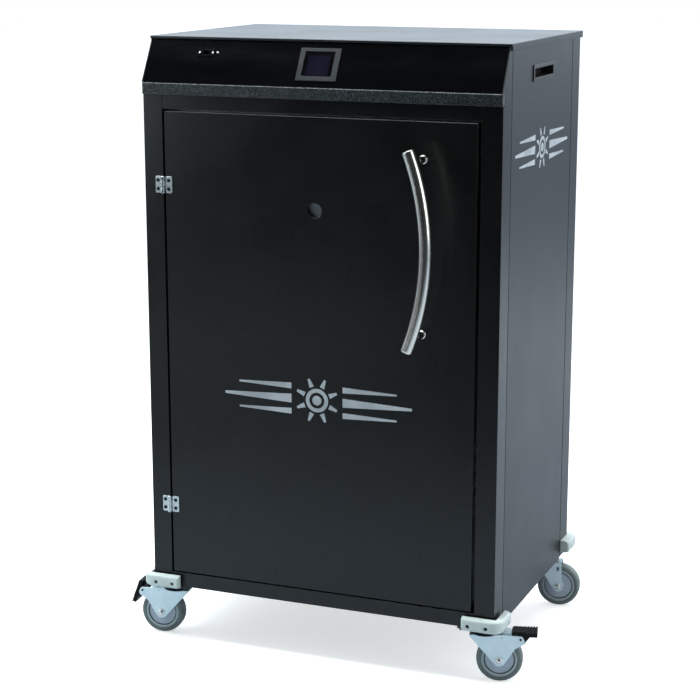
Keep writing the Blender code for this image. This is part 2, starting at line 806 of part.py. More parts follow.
def hinge_knuckle(height_low, height_high):
    x, y = HINGE_AXIS
    return rod((x, y, height_low), (x, y, height_high), KNUCKLE_RADIUS)


def frame_leaf_mesh(height):
    """Hinge leaf on the post: two knuckles and the pin."""
    x, y = HINGE_AXIS
    half = HINGE_TALL / 2
    middle = KNUCKLE_MIDDLE / 2
    near = FRONT - GAP - LEAF_THICK
    leaf = block((x - FRAME_LEAF_WIDE, near, height - half), (x, FRONT - GAP, height + half))
    clear = KNUCKLE_RADIUS + 0.0007
    room = block((x - clear, near - 0.01, height - middle), (x + 0.01, FRONT + 0.01, height + middle))
    leaf = joined(leaf, hinge_knuckle(height - half, height + half))
    leaf = carved(leaf, room)
    return joined(leaf, rod((x, y, height - half - 0.0012), (x, y, height + half + 0.0012), PIN_RADIUS, 16))


def door_leaf_mesh(height):
    """Hinge leaf on the door: one knuckle, bored for the pin."""
    x, y = HINGE_AXIS
    half = HINGE_TALL / 2
    middle = KNUCKLE_MIDDLE / 2 - GAP
    near = FRONT - GAP - LEAF_THICK
    inner = x + KNUCKLE_RADIUS + 0.0007
    leaf = block((inner, near, height - half), (x + DOOR_LEAF_WIDE, FRONT - GAP, height + half))
    tongue = block((x, near, height - middle), (x + KNUCKLE_RADIUS + 0.002, FRONT - GAP, height + middle))
    bore = rod((x, y, height - half), (x, y, height + half), PIN_RADIUS + GAP, 16)
    return carved(joined(leaf, tongue, hinge_knuckle(height - middle, height + middle)), bore)


# ---------------------------------------------------------------- casters

def caster_plate_mesh():
    """Right-hand top plate with its upper race, king pin and four bolt heads underneath."""
    plate_high = BODY_BOTTOM - GAP
    plate_low = plate_high - PLATE_SHEET
    plate = block((-PLATE_INNER, -PLATE_WIDE, plate_low), (PLATE_OUTER, PLATE_WIDE, plate_high))
    plate = soften(plate, 0.0008)
    race = rod((0, 0, CROWN_HIGH + RACE_RISE + GAP), (0, 0, plate_low + 0.001), 0.0265, 24)
    pin = rod((0, 0, CROWN_LOW - 0.002), (0, 0, CROWN_HIGH + 0.006), 0.005)
    head = rod((0, 0, CROWN_LOW - 0.0035), (0, 0, CROWN_LOW - GAP), 0.0075, 6)
    bolts = [
        rod((x, y, plate_low - 0.004), (x, y, plate_low + 0.001), 0.0055, 6)
        for x in (0.008 - PLATE_INNER, PLATE_OUTER - 0.008)
        for y in (0.008 - PLATE_WIDE, PLATE_WIDE - 0.008)
    ]
    return joined(plate, race, pin, head, *bolts)


def front_leg_outline():
    """(x, z) outline of a braked fork leg: an inverted triangle with an ear for the pedal pin."""
    pivot_x, pivot_z = PEDAL_PIVOT
    rise = CROWN_HIGH + 0.0012
    tip = arc((TRAIL, WHEEL_RADIUS), LEG_TIP_RADIUS, -145, -35, 6)
    shoulder = [(TRAIL + 0.0310, 0.0733)]
    ear = arc((pivot_x - 0.0005, pivot_z - 0.0045), 0.0085, -70, 35, 5)
    ear += [(TRAIL + 0.0465, CROWN_LOW), (TRAIL + 0.0440, CROWN_HIGH)]
    top = [(TRAIL + 0.0165, CROWN_HIGH), (TRAIL + 0.0155, rise)]
    top += [(TRAIL - 0.0150, rise), (TRAIL - 0.0160, CROWN_HIGH)]
    back = [(FRONT_CROWN_START, CROWN_HIGH), (FRONT_CROWN_START, CROWN_HIGH - 0.0030)]
    return tip + shoulder + ear + top + back


def rear_leg_outline():
    """(x, z) outline of a plain fork leg: upright behind and slanting in front."""
    tip = arc((TRAIL, WHEEL_RADIUS), LEG_TIP_RADIUS, -140, -42, 5)
    return tip + [(REAR_CROWN_END, CROWN_HIGH), (REAR_CROWN_START, CROWN_HIGH)]


def fork_mesh(outline, crown_start, crown_end):
    """Fork: crown, lower race, two legs and the axle bolt."""
    crown = block((crown_start, -LEG_OUTER, CROWN_LOW), (crown_end, LEG_OUTER, CROWN_HIGH))
    disc = rod((0, 0, CROWN_LOW), (0, 0, CROWN_HIGH), 0.0285, 24)
    race = rod((0, 0, CROWN_LOW + 0.001), (0, 0, CROWN_HIGH + RACE_RISE), 0.0225, 24)
    fork = joined(crown, disc, race)
    for side in (LEFT, RIGHT):
        edges = sorted((side * LEG_INNER, side * LEG_OUTER))
        fork = joined(fork, prism(outline, "y", edges[0], edges[1]))
    bore = rod((0, 0, CROWN_LOW - 0.01), (0, 0, CROWN_HIGH + 0.01), 0.0053)
    axle = rod((TRAIL, -0.0260, WHEEL_RADIUS), (TRAIL, 0.0260, WHEEL_RADIUS), AXLE_RADIUS)
    heads = [
        rod((TRAIL, side * 0.0190, WHEEL_RADIUS), (TRAIL, side * 0.0245, WHEEL_RADIUS), 0.0065, 6)
        for side in (LEFT, RIGHT)
    ]
    return joined(carved(fork, bore), axle, *heads)


def front_fork_mesh():
    """Fork with the pedal pin's hole in each ear, a small tooling hole and a spring plate."""
    x, z = PEDAL_PIVOT
    hole = rod((x, -0.03, z), (x, 0.03, z), 0.0023, 16)
    tooling = rod((TRAIL + 0.0048, -0.03, 0.0970), (TRAIL + 0.0048, 0.03, 0.0970), 0.0013, 8)
    spring_high = CROWN_HIGH + 0.0058
    spring = block((TRAIL + 0.0060, -0.0130, CROWN_LOW + 0.001), (TRAIL + 0.0225, 0.0130, spring_high))
    fork = fork_mesh(front_leg_outline(), FRONT_CROWN_START, PEDAL_PIVOT[0] - 0.0160)
    return carved(joined(fork, spring), hole, tooling)


def rear_fork_mesh():
    """Fork with a slot high in each leg."""
    slot = block((TRAIL - 0.0040, -0.03, 0.0838), (TRAIL + 0.0015, 0.03, 0.0925))
    fork = fork_mesh(rear_leg_outline(), REAR_CROWN_START + 0.0040, REAR_CROWN_END - 0.0010)
    return carved(fork, slot)


def hub_mesh():
    """Wheel hub with a groove near its rim and a boss around the axle."""
    half = WHEEL_WIDE / 2
    bore = AXLE_RADIUS + GAP
    side = [
        (bore, half + 0.0008), (0.0105, half + 0.0008), (0.0115, half - 0.0045),
        (HUB_GROOVE, half - 0.0055), (HUB_RADIUS, half - 0.0020),
    ]
    return turned_ring(side + [(r, -y) for r, y in reversed(side)], WHEEL_SEGMENTS)


def tyre_mesh():
    """Tyre with a rounded tread."""
    half = WHEEL_WIDE / 2
    inner = HUB_RADIUS + GAP
    side = [
        (inner, half - 0.0012), (WHEEL_RADIUS - 0.0050, half - 0.0012),
        (WHEEL_RADIUS - 0.0015, half - 0.0060), (WHEEL_RADIUS, 0.0),
    ]
    return turned_ring(side + [(r, -y) for r, y in reversed(side[:-1])], WHEEL_SEGMENTS)


def pedal_mesh():
    """Brake pedal about its pin: a ribbed tread over a wedge that holds the pin.

    The tread is full width beyond the fork's ears and passes between them behind the pin.
    """
    tip_x, tip_z = PEDAL_TIP
    under = 0.0059
    behind = CROWN_HIGH + 0.0006 - PEDAL_PIVOT[1]
    tread = block((0.0095, -PEDAL_HALF, under), (tip_x, PEDAL_HALF, tip_z))
    root = prism([
        (-0.0180, behind), (0.0110, behind), (0.0110, tip_z), (-0.0150, tip_z), (-0.0180, tip_z - 0.0030),
    ], "y", -0.0168, 0.0168)
    wedge = prism(arc((0, 0), 0.0065, 170, 250, 4) + [
        (0.0058, -0.0130), (0.0202, 0.0065), (0.0150, 0.0100), (-0.0040, 0.0100),
    ], "y", -0.0150, 0.0150)
    pin = rod((0, -0.0225, 0), (0, 0.0225, 0), 0.0020, 16)
    grooves = [
        block((x - 0.0013, -0.03, tip_z - 0.0020), (x + 0.0013, 0.03, tip_z + 0.01))
        for x in (0.0125, 0.0180, 0.0235, 0.0290)
    ]
    return carved(joined(tread, root, wedge, pin), *grooves)


# ---------------------------------------------------------------- assembly

def add_frame(cabinet):
    """Posts, rails, panels, base and lid."""
    paint = black_powder_coat()
    add("front_right_post", front_post_mesh(), paint, cabinet)
    add("front_left_post", mirrored_x(front_post_mesh()), paint, cabinet)
    add("bottom_front_rail", rail_mesh(BODY_BOTTOM + 0.001, BOTTOM_RAIL_TOP), paint, cabinet)
    add("top_front_rail", rail_mesh(TOP_RAIL_BOTTOM, STRIP_BOTTOM - GAP), paint, cabinet)
    add("right_side_panel", side_panel_mesh(), paint, cabinet)
    add("left_side_panel", mirrored_x(side_panel_mesh()), paint, cabinet)
    add("back_panel", back_panel_mesh(), paint, cabinet)
    add("base_pan", base_pan_mesh(), paint, cabinet)
    add("lid", lid_mesh(), paint, cabinet)


def add_console(cabinet):
    """Header strip, sloped face, display and service port."""
    add("header_strip", header_strip_mesh(), black_powder_coat(), cabinet)
    add("control_panel", control_panel_mesh(), gloss_black(), cabinet)
    add("display_bezel", display_bezel_mesh(), bezel_plastic(), cabinet)
    add("display_screen", display_screen_mesh(), screen_glass(), cabinet)
    add("service_port", service_port_mesh(), bezel_plastic(), cabinet)


def add_sides(cabinet):
    """Grips and corner guards."""
    add("right_grip", grip_mesh(), black_plastic(), cabinet)
    add("left_grip", mirrored_x(grip_mesh()), black_plastic(), cabinet)
    to_rear = Matrix.Translation((0, 0, REAR_GUARD_RAISE)) @ Matrix.Diagonal((1, -1, 1, 1))
    add("front_right_guard", guard_mesh(), guard_plastic(), cabinet)
    add("front_left_guard", mirrored_x(guard_mesh()), guard_plastic(), cabinet)
    add("rear_right_guard", moved(guard_mesh(), to_rear), guard_plastic(), cabinet)
    add("rear_left_guard", mirrored_x(moved(guard_mesh(), to_rear)), guard_plastic(), cabinet)


def add_chamber(cabinet):
    """Liner, shelves, lamps, electronics and the catch."""
    add("chamber_liner", chamber_liner_mesh(), chamber_steel(), cabinet)
    for name, height in zip(("lower_shelf", "middle_shelf", "upper_shelf"), shelf_heights()):
        add(name, shelf_mesh(height), chamber_steel(), cabinet)
    add("lamp_batten", lamp_batten_mesh(), enamel_white(), cabinet)
    add("left_uv_lamp", lamp_mesh(LEFT), lamp_quartz(), cabinet)
    add("right_uv_lamp", lamp_mesh(RIGHT), lamp_quartz(), cabinet)
    add("electronics_box", electronics_box_mesh(), enamel_white(), cabinet)
    add("magnetic_catch", magnetic_catch_mesh(), black_plastic(), cabinet)


def add_mains(cabinet):
    """Mains inlet and its rocker switch."""
    add("power_inlet", power_inlet_mesh(), black_plastic(), cabinet)
    pivot = anchor("rocker_pivot", rocker_pivot(), cabinet)
    add("power_rocker", power_rocker_mesh(), black_plastic(), pivot, origin=(0, 0, 0))


def add_door(cabinet):
    """Everything that swings with the door, about the hinge axis."""
    axis = Vector((*HINGE_AXIS, 0))
    hinge = anchor("door_axis", axis, cabinet)
    to_axis = Matrix.Translation(-axis)

    def on_door(name, mesh, finish):
        add(name, moved(mesh, to_axis), finish, hinge, origin=(0, 0, 0))

    on_door("door_shell", door_shell_mesh(), black_powder_coat())
    on_door("door_inner_panel", door_inner_panel_mesh(), chamber_steel())
    on_door("door_seal", door_seal_mesh(), seal_rubber())
    on_door("window_glass", window_glass_mesh(), window_grey())
    on_door("handle_bar", handle_bar_mesh(), brushed_steel())
    for name, side in (("lower_standoff", -1), ("upper_standoff", 1)):
        on_door(name, standoff_mesh(HANDLE_MID[1] + side * STANDOFF_APART / 2), brushed_steel())
    for name, height in zip(("upper", "lower"), HINGE_HEIGHTS):
        add(f"{name}_hinge_frame_leaf", frame_leaf_mesh(height), hinge_nickel(), cabinet)
        on_door(f"{name}_hinge_door_leaf", door_leaf_mesh(height), hinge_nickel())


def add_caster(cabinet, name, spot, yaw, fork, meshes):
    """One caster: a fixed plate, and a fork and wheel carried by the swivel."""
    x, y = spot
    plate_spot = anchor(f"{name}_mount", (x, y, 0), cabinet)
    swivel = anchor(f"{name}_swivel", (x, y, 0), cabinet, yaw)
    axle = anchor(f"{name}_axle", (TRAIL, 0, WHEEL_RADIUS), swivel)
    centre = (0, 0, 0)
    plate = meshes["right plate"] if x > 0 else meshes["left plate"]
    add(f"{name}_caster_plate", plate.copy(), zinc_plate(), plate_spot, origin=centre)
    add(f"{name}_fork", fork.copy(), zinc_plate(), swivel, origin=centre)
    add(f"{name}_hub", meshes["hub"].copy(), hub_plastic(), axle, origin=centre)
    add(f"{name}_tyre", meshes["tyre"].copy(), tyre_rubber(), axle, origin=centre)
    return swivel


def add_pedal(swivel, name, pressed, mesh):
    """Brake pedal on a front caster, raised or pressed down."""
    pivot = anchor(f"{name}_pedal_pin", (PEDAL_PIVOT[0], 0, PEDAL_PIVOT[1]), swivel)
    pedal = add(f"{name}_brake_pedal", mesh.copy(), black_plastic(), pivot, origin=(0, 0, 0))
    pedal.rotation_euler = (0, PEDAL_TRAVEL if pressed else 0, 0)


def add_casters(cabinet):
    """Two braked casters in front and two plain ones behind, all trailing outwards."""
    meshes = {
        "right plate": caster_plate_mesh(),
        "left plate": mirrored_x(caster_plate_mesh()),
        "hub": hub_mesh(),
        "tyre": tyre_mesh(),
    }
    front, rear, pedal = front_fork_mesh(), rear_fork_mesh(), pedal_mesh()
    front_x, front_y = FRONT_SWIVEL
    rear_x, rear_y = REAR_SWIVEL
    right = add_caster(cabinet, "front_right", (front_x, -front_y), FRONT_RIGHT_YAW, front, meshes)
    left = add_caster(cabinet, "front_left", (-front_x, -front_y), FRONT_LEFT_YAW, front, meshes)
    add_caster(cabinet, "rear_right", (rear_x, rear_y), REAR_RIGHT_YAW, rear, meshes)
    add_caster(cabinet, "rear_left", (-rear_x, rear_y), REAR_LEFT_YAW, rear, meshes)
    add_pedal(right, "right", False, pedal)
    add_pedal(left, "left", True, pedal)


def build():
    clear_scene()
    cabinet = anchor("cabinet", (SET_ASIDE, SET_BACK, 0))
    add_frame(cabinet)
    add_console(cabinet)
    add_sides(cabinet)
    add_chamber(cabinet)
    add_mains(cabinet)
    add_door(cabinet)
    add_casters(cabinet)


build()
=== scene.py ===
"""Looks of the UV sterilizer cabinet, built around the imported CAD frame.

CAD nodes keep their shapes and get rounded edges and procedural finishes. Wheels, handle,
hinges, guards, lamps and small fittings are rebuilt finer, and screws and trim are added.
Every place is worked out from the frame's own boxes. Metres, +Z up, -Y is the front.
"""

import json
import math

import bmesh
import bpy
from mathutils import Matrix, Vector


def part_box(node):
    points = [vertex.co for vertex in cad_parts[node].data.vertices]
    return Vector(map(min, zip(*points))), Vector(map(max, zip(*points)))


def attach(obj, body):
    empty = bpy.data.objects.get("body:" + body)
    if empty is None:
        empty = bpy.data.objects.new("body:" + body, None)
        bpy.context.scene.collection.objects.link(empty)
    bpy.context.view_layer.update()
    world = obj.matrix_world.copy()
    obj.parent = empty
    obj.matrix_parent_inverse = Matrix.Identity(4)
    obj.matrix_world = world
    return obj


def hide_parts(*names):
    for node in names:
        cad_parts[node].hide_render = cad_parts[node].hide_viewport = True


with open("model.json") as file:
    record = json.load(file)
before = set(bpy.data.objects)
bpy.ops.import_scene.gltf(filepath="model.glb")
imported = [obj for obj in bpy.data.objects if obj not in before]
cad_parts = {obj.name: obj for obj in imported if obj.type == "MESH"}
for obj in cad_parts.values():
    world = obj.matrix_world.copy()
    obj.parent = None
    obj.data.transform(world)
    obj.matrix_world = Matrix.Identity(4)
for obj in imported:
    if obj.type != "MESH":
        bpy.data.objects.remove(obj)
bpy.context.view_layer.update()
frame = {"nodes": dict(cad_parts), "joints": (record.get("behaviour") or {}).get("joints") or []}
NODES = frame["nodes"]
JOINTS = {joint["name"]: joint for joint in frame["joints"]}

# Caster wheel sizes, as in the part's source: the boxes of turned wheels don't give them.
HUB_GROOVE = 0.0305
WHEEL_WIDE = 0.031
WHEEL_RADIUS = 0.0475

# Thin gap that keeps added pieces clear of the faces they sit on.
CLEAR = 0.0003

X, Y, Z = Vector((1, 0, 0)), Vector((0, 1, 0)), Vector((0, 0, 1))
SIDES = {"left": -1, "right": 1}
CASTERS = ("front_left", "front_right", "rear_left", "rear_right")


# ---------------------------------------------------------------- frame places

def low(node):
    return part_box(node)[0]


def high(node):
    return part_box(node)[1]


def middle(node):
    return (low(node) + high(node)) / 2


def joint_place(name):
    return Vector(JOINTS[name]["pos_m"])


def joint_axis(name):
    return Vector(JOINTS[name]["axis"]).normalized()


FRONT_Y = low("door_shell").y
BODY_LOW = Vector((low("back_panel").x, low("front_left_post").y, low("back_panel").z))
BODY_HIGH = high("back_panel").copy()
CENTRE_X = (BODY_LOW.x + BODY_HIGH.x) / 2
CENTRE_Y = (BODY_LOW.y + BODY_HIGH.y) / 2


def frame_of(origin, across, up):
    """Matrix whose local X runs across, Y runs up, and Z stands off the surface."""
    across, up = across.normalized(), up.normalized()
    off = across.cross(up)
    turn = Matrix((across, up, off)).transposed().to_4x4()
    return Matrix.Translation(origin) @ turn


def on_front(x, z):
    """Frame on the door's front face."""
    return frame_of(Vector((x, FRONT_Y, z)), X, Z)


def on_side(side, y, z):
    """Frame on the body's left or right face."""
    face = (BODY_HIGH if side > 0 else BODY_LOW).x
    return frame_of(Vector((face, y, z)), Y * side, Z)


def on_back(x, z):
    """Frame on the body's back face."""
    return frame_of(Vector((x, BODY_HIGH.y, z)), -X, Z)


# ---------------------------------------------------------------- shader building

class Finish:
    """A Principled material under construction, with short calls for its nodes."""

    def __init__(self, name):
        self.material = bpy.data.materials.new(name)
        self.material.use_nodes = True
        self.tree = self.material.node_tree
        self.shader = self.tree.nodes["Principled BSDF"]
        self.place = self.add("ShaderNodeTexCoord").outputs["Object"]
        self.height = None

    def add(self, kind, **settings):
        node = self.tree.nodes.new(kind)
        for key, value in settings.items():
            setattr(node, key, value)
        return node

    def wire(self, source, target):
        if isinstance(source, (int, float)):
            target.default_value = source
        else:
            self.tree.links.new(source, target)

    def stretch(self, scale):
        """Object coordinates scaled along each axis."""
        mapping = self.add("ShaderNodeMapping")
        mapping.inputs["Scale"].default_value = scale
        self.wire(self.place, mapping.inputs["Vector"])
        return mapping.outputs["Vector"]

    def noise(self, scale, detail=3.0, rough=0.5, at=None):
        node = self.add("ShaderNodeTexNoise")
        node.inputs["Scale"].default_value = scale
        node.inputs["Detail"].default_value = detail
        node.inputs["Roughness"].default_value = rough
        self.wire(at or self.place, node.inputs["Vector"])
        return node.outputs["Fac"]

    def cells(self, scale):
        node = self.add("ShaderNodeTexVoronoi", feature="SMOOTH_F1")
        node.inputs["Scale"].default_value = scale
        self.wire(self.place, node.inputs["Vector"])
        return node.outputs["Distance"]

    def spread(self, value, low_in, high_in, low_out, high_out):
        """Value mapped from one range to another, with clamped ends."""
        node = self.add("ShaderNodeMapRange")
        names = ("From Min", "From Max", "To Min", "To Max")
        for key, number in zip(names, (low_in, high_in, low_out, high_out)):
            node.inputs[key].default_value = number
        self.wire(value, node.inputs["Value"])
        return node.outputs["Result"]

    def mix(self, factor, first, second):
        """Colour between two colours or colour sockets."""
        node = self.add("ShaderNodeMix", data_type="RGBA")
        self.wire(factor, node.inputs[0])
        for socket, colour in ((node.inputs[6], first), (node.inputs[7], second)):
            if isinstance(colour, tuple):
                socket.default_value = (*colour, 1)
            else:
                self.wire(colour, socket)
        return node.outputs[2]

    def maths(self, operation, first, second=0.0):
        node = self.add("ShaderNodeMath", operation=operation)
        self.wire(first, node.inputs[0])
        self.wire(second, node.inputs[1])
        return node.outputs[0]

    def bump(self, height, depth, strength=1.0):
        """Stack a bump of a real depth onto the surface."""
        node = self.add("ShaderNodeBump")
        node.inputs["Strength"].default_value = strength
        node.inputs["Distance"].default_value = depth
        self.wire(height, node.inputs["Height"])
        if self.height is not None:
            self.wire(self.height, node.inputs["Normal"])
        self.height = node.outputs["Normal"]
        self.wire(self.height, self.shader.inputs["Normal"])

    def set(self, **values):
        """Set Principled inputs by name, with _ for spaces."""
        for key, value in values.items():
            socket = self.shader.inputs[key.replace("_", " ").title().replace("Ior", "IOR")]
            if isinstance(value, tuple):
                socket.default_value = (*value, 1)
            else:
                self.wire(value, socket)


def radius_about_y(finish):
    """Distance from the piece's own Y axis."""
    split = finish.add("ShaderNodeSeparateXYZ")
    finish.wire(finish.place, split.inputs[0])
    squares = [finish.maths("MULTIPLY", split.outputs[i], split.outputs[i]) for i in (0, 2)]
    return finish.maths("SQRT", finish.maths("ADD", *squares))


# ---------------------------------------------------------------- finishes

def powder_coat(name, colour, lighter, grain_depth, rough=(0.33, 0.38)):
    """Semi-gloss black powder coat: orange peel, faint mottling and pinprick sparkle painted into the
    colour as light specks (painted glints).
    """
    finish = Finish(name)
    mottle = finish.noise(9.0, 4.0)
    grain = finish.noise(900.0, 2.0)
    tone = finish.mix(finish.spread(mottle, 0.35, 0.65, 0.0, 1.0), colour, lighter)
    # Painted glints: fine noise picks pinpricks whose colour is lifted to 3.5 times the lighter tone,
    # standing in for sparkle.
    glint_specks = finish.spread(grain, 0.66, 0.78, 0.0, 0.35)
    tone = finish.mix(glint_specks, tone, tuple(3.5 * channel for channel in lighter))
    finish.set(base_color=tone, roughness=finish.spread(mottle, 0.3, 0.7, *rough), ior=1.45)
    finish.bump(finish.noise(420.0, 2.0, 0.4), grain_depth)
    finish.bump(finish.noise(2.0, 0.0), 0.0010, 0.12)
    return finish.material


def hammered_coat(name, colour, lighter):
    """Hammered coat of the header strip: bumped dimples with painted shade in their hollows and lighter
    rims, plus painted glint specks.
    """
    finish = Finish(name)
    dimples = finish.cells(430.0)
    grain = finish.noise(420.0, 3.0, 0.7)
    # Painted shade: the colour is darker at the dimples' centres, in their hollows, and lighter on their
    # rims.
    tone = finish.mix(finish.spread(dimples, 0.1, 0.7, 0.0, 1.0), colour, lighter)
    # Painted glints: pale specks, seven times the lighter tone, put into the colour to stand in for
    # sparkle.
    glint_specks = finish.spread(grain, 0.52, 0.68, 0.0, 0.9)
    tone = finish.mix(glint_specks, tone, tuple(7 * channel for channel in lighter))
    finish.set(base_color=tone, roughness=finish.spread(grain, 0.3, 0.7, 0.22, 0.40), ior=1.5)
    finish.bump(dimples, 0.00090)
    finish.bump(grain, 0.00012)
    return finish.material


def gloss_black():
    """Polished black sheet with faint wipe marks."""
    finish = Finish("gloss_black")
    wipe = finish.noise(2.0, 5.0, 0.6, finish.stretch((2.0, 9.0, 9.0)))
    finish.set(base_color=finish.mix(wipe, (0.0015, 0.0015, 0.0018), (0.0030, 0.0030, 0.0036)),
               roughness=finish.spread(wipe, 0.35, 0.70, 0.06, 0.14), ior=1.45)
    finish.bump(finish.noise(6.0, 1.0), 0.0006, 0.25)
    return finish.material


def brushed_metal(name, colour, darker, scale, rough, depth=0.00003):
    """Brushed metal: long scratches along one axis of the piece."""
    finish = Finish(name)
    lines = finish.noise(1.0, 6.0, 0.65, finish.stretch(scale))
    patch = finish.noise(14.0, 2.0)
    finish.set(base_color=finish.mix(finish.spread(lines, 0.3, 0.7, 0.0, 1.0), darker, colour),
               metallic=1.0, roughness=finish.spread(lines, 0.3, 0.7, *rough),
               anisotropic=0.45)
    finish.bump(lines, depth)
    finish.bump(patch, 0.00002, 0.1)
    return finish.material


def zinc_plate(name, colour, darker, rough=(0.24, 0.42), metallic=0.85):
    """Bright zinc plate: cloudy passivation and faint rolling marks."""
    finish = Finish(name)
    cloud = finish.noise(55.0, 4.0, 0.6)
    streak = finish.noise(1.0, 4.0, 0.6, finish.stretch((60.0, 60.0, 420.0)))
    tone = finish.mix(finish.spread(cloud, 0.32, 0.68, 0.0, 1.0), darker, colour)
    finish.set(base_color=tone, metallic=metallic, roughness=finish.spread(streak, 0.3, 0.7, *rough))
    finish.bump(finish.noise(650.0, 2.0), 0.00001)
    finish.bump(streak, 0.00001)
    return finish.material


def moulded_plastic(name, colour, lighter, rough, grain=900.0, depth=0.00005, gloss=0.5):
    """Moulded plastic: fine eroded texture and slight colour drift."""
    finish = Finish(name)
    drift = finish.noise(18.0, 3.0)
    texture = finish.noise(grain, 2.0, 0.6)
    finish.set(base_color=finish.mix(finish.spread(drift, 0.3, 0.7, 0.0, 1.0), colour, lighter),
               roughness=finish.spread(texture, 0.3, 0.7, *rough), specular_ior_level=gloss)
    finish.bump(texture, depth)
    return finish.material


def tyre_rubber():
    """Grey rubber, dusty towards the tread."""
    finish = Finish("tyre_rubber")
    edge = finish.spread(radius_about_y(finish), WHEEL_RADIUS - 0.007, WHEEL_RADIUS, 0.0, 1.0)
    dust = finish.maths("MULTIPLY", edge, finish.spread(finish.noise(60.0, 4.0), 0.4, 0.7, 0.0, 0.9))
    tone = finish.mix(finish.noise(35.0, 3.0), (0.150, 0.185, 0.180), (0.205, 0.240, 0.232))
    tone = finish.mix(dust, tone, (0.28, 0.31, 0.30))
    finish.set(base_color=tone, roughness=finish.spread(finish.noise(300.0), 0.3, 0.7, 0.48, 0.72))
    finish.bump(finish.noise(800.0, 2.0), 0.00008)
    return finish.material


def hub_plastic():
    """Blue-grey hub face, painted shade in the groove and a lighter rim outside it."""
    finish = Finish("hub_plastic")
    radius = radius_about_y(finish)
    drift = finish.noise(40.0, 3.0)
    face = finish.mix(drift, (0.46, 0.53, 0.61), (0.54, 0.61, 0.69))
    rim = finish.mix(drift, (0.42, 0.49, 0.49), (0.50, 0.57, 0.57))
    tone = finish.mix(finish.spread(radius, HUB_GROOVE, HUB_GROOVE + 0.0006, 0.0, 1.0), face, rim)
    # Painted shade: a thin near-black band in the colour over the groove's recess.
    away = finish.maths("ABSOLUTE", finish.maths("SUBTRACT", radius, HUB_GROOVE))
    tone = finish.mix(finish.spread(away, 0.0006, 0.0013, 0.88, 0.0), tone, (0.018, 0.026, 0.028))
    finish.set(base_color=tone, roughness=finish.spread(finish.noise(500.0), 0.3, 0.7, 0.36, 0.52))
    finish.bump(finish.noise(900.0, 2.0), 0.00004)
    return finish.material


def clear_glass(name, tint, rough, haze):
    """Thin glass or acrylic with a little haze."""
    finish = Finish(name)
    cloud = finish.noise(30.0, 3.0)
    finish.set(base_color=finish.mix(cloud, tint, tuple(0.85 * channel for channel in tint)),
               roughness=finish.spread(cloud, 0.3, 0.7, rough, rough + 0.06),
               transmission_weight=1.0 - haze, ior=1.47)
    return finish.material


def screen_glass():
    """Unlit display: indigo in the middle of a black border, behind glass."""
    finish = Finish("screen_glass")
    glow = finish.noise(24.0, 2.0)
    across = finish.add("ShaderNodeSeparateXYZ")
    finish.wire(finish.add("ShaderNodeTexCoord").outputs["Generated"], across.inputs[0])
    off = [finish.maths("ABSOLUTE", finish.maths("SUBTRACT", across.outputs[i], 0.5)) for i in (0, 2)]
    border = finish.spread(finish.maths("MAXIMUM", *off), 0.34, 0.40, 0.0, 1.0)
    indigo = finish.mix(glow, (0.0040, 0.0034, 0.0105), (0.0075, 0.0062, 0.0175))
    finish.set(base_color=finish.mix(border, indigo, (0.0008, 0.0008, 0.0010)),
               roughness=finish.spread(glow, 0.3, 0.7, 0.10, 0.16))
    finish.bump(finish.noise(1200.0, 1.0), 0.00001)
    return finish.material


def silver_print():
    """Silver screen print with a soft brushed gradient."""
    finish = Finish("silver_print")
    cloud = finish.noise(12.0, 2.0)
    grain = finish.noise(1500.0, 2.0)
    tone = finish.mix(finish.spread(cloud, 0.35, 0.65, 0.0, 1.0), (0.42, 0.45, 0.47), (0.60, 0.63, 0.65))
    finish.set(base_color=tone, roughness=finish.spread(grain, 0.3, 0.7, 0.40, 0.60), metallic=0.15)
    finish.bump(grain, 0.00002)
    return finish.material


def glint_glow(name, colour, strength):
    """Small face that glows, though it is no lamp: its emission is a painted glint."""
    finish = Finish(name)
    glint_mottle = finish.noise(300.0)
    finish.set(base_color=colour, emission_color=colour,
               emission_strength=finish.spread(glint_mottle, 0.3, 0.7, 0.8 * strength, strength))
    return finish.material


COAT = powder_coat(
    "black_powder_coat", (0.0030, 0.0035, 0.0035), (0.0048, 0.0056, 0.0058), 0.00010, (0.26, 0.30))
# Painted light: the same black coat again, lighter and bluer, for the sides, back and lid; it stands in
# for the bright reflections those faces catch.
LIT_SIDE_COAT = powder_coat("side_powder_coat_lit_copy", (0.0080, 0.0100, 0.0120), (0.0110, 0.0140, 0.0170), 0.00008)
HAMMERED = hammered_coat("hammered_coat", (0.0040, 0.0050, 0.0054), (0.0130, 0.0165, 0.0175))
GLOSS = gloss_black()
HANDLE_STEEL = brushed_metal(
    "handle_steel", (0.78, 0.76, 0.70), (0.72, 0.70, 0.65), (420.0, 420.0, 4.0), (0.22, 0.27), 0.000002)
POLISHED = brushed_metal(
    "polished_steel", (0.80, 0.79, 0.76), (0.70, 0.69, 0.67), (300.0, 40.0, 300.0), (0.10, 0.18), 0.000006)
CHAMBER_STEEL = brushed_metal(
    "chamber_steel", (0.62, 0.63, 0.64), (0.44, 0.45, 0.46), (900.0, 900.0, 10.0), (0.26, 0.40))
ZINC = zinc_plate("zinc_plate", (0.80, 0.93, 0.96), (0.74, 0.87, 0.91), (0.34, 0.48), 0.5)
NICKEL = zinc_plate("hinge_nickel", (0.66, 0.71, 0.71), (0.54, 0.60, 0.62), (0.24, 0.34))
DARK_STEEL = zinc_plate("dark_screw", (0.050, 0.058, 0.064), (0.020, 0.025, 0.028), (0.30, 0.50))
GUARD = moulded_plastic("guard_plastic", (0.64, 0.72, 0.67), (0.72, 0.79, 0.74), (0.34, 0.48))
GRIP = moulded_plastic("grip_plastic", (0.020, 0.0195, 0.0185), (0.028, 0.027, 0.026), (0.30, 0.40))
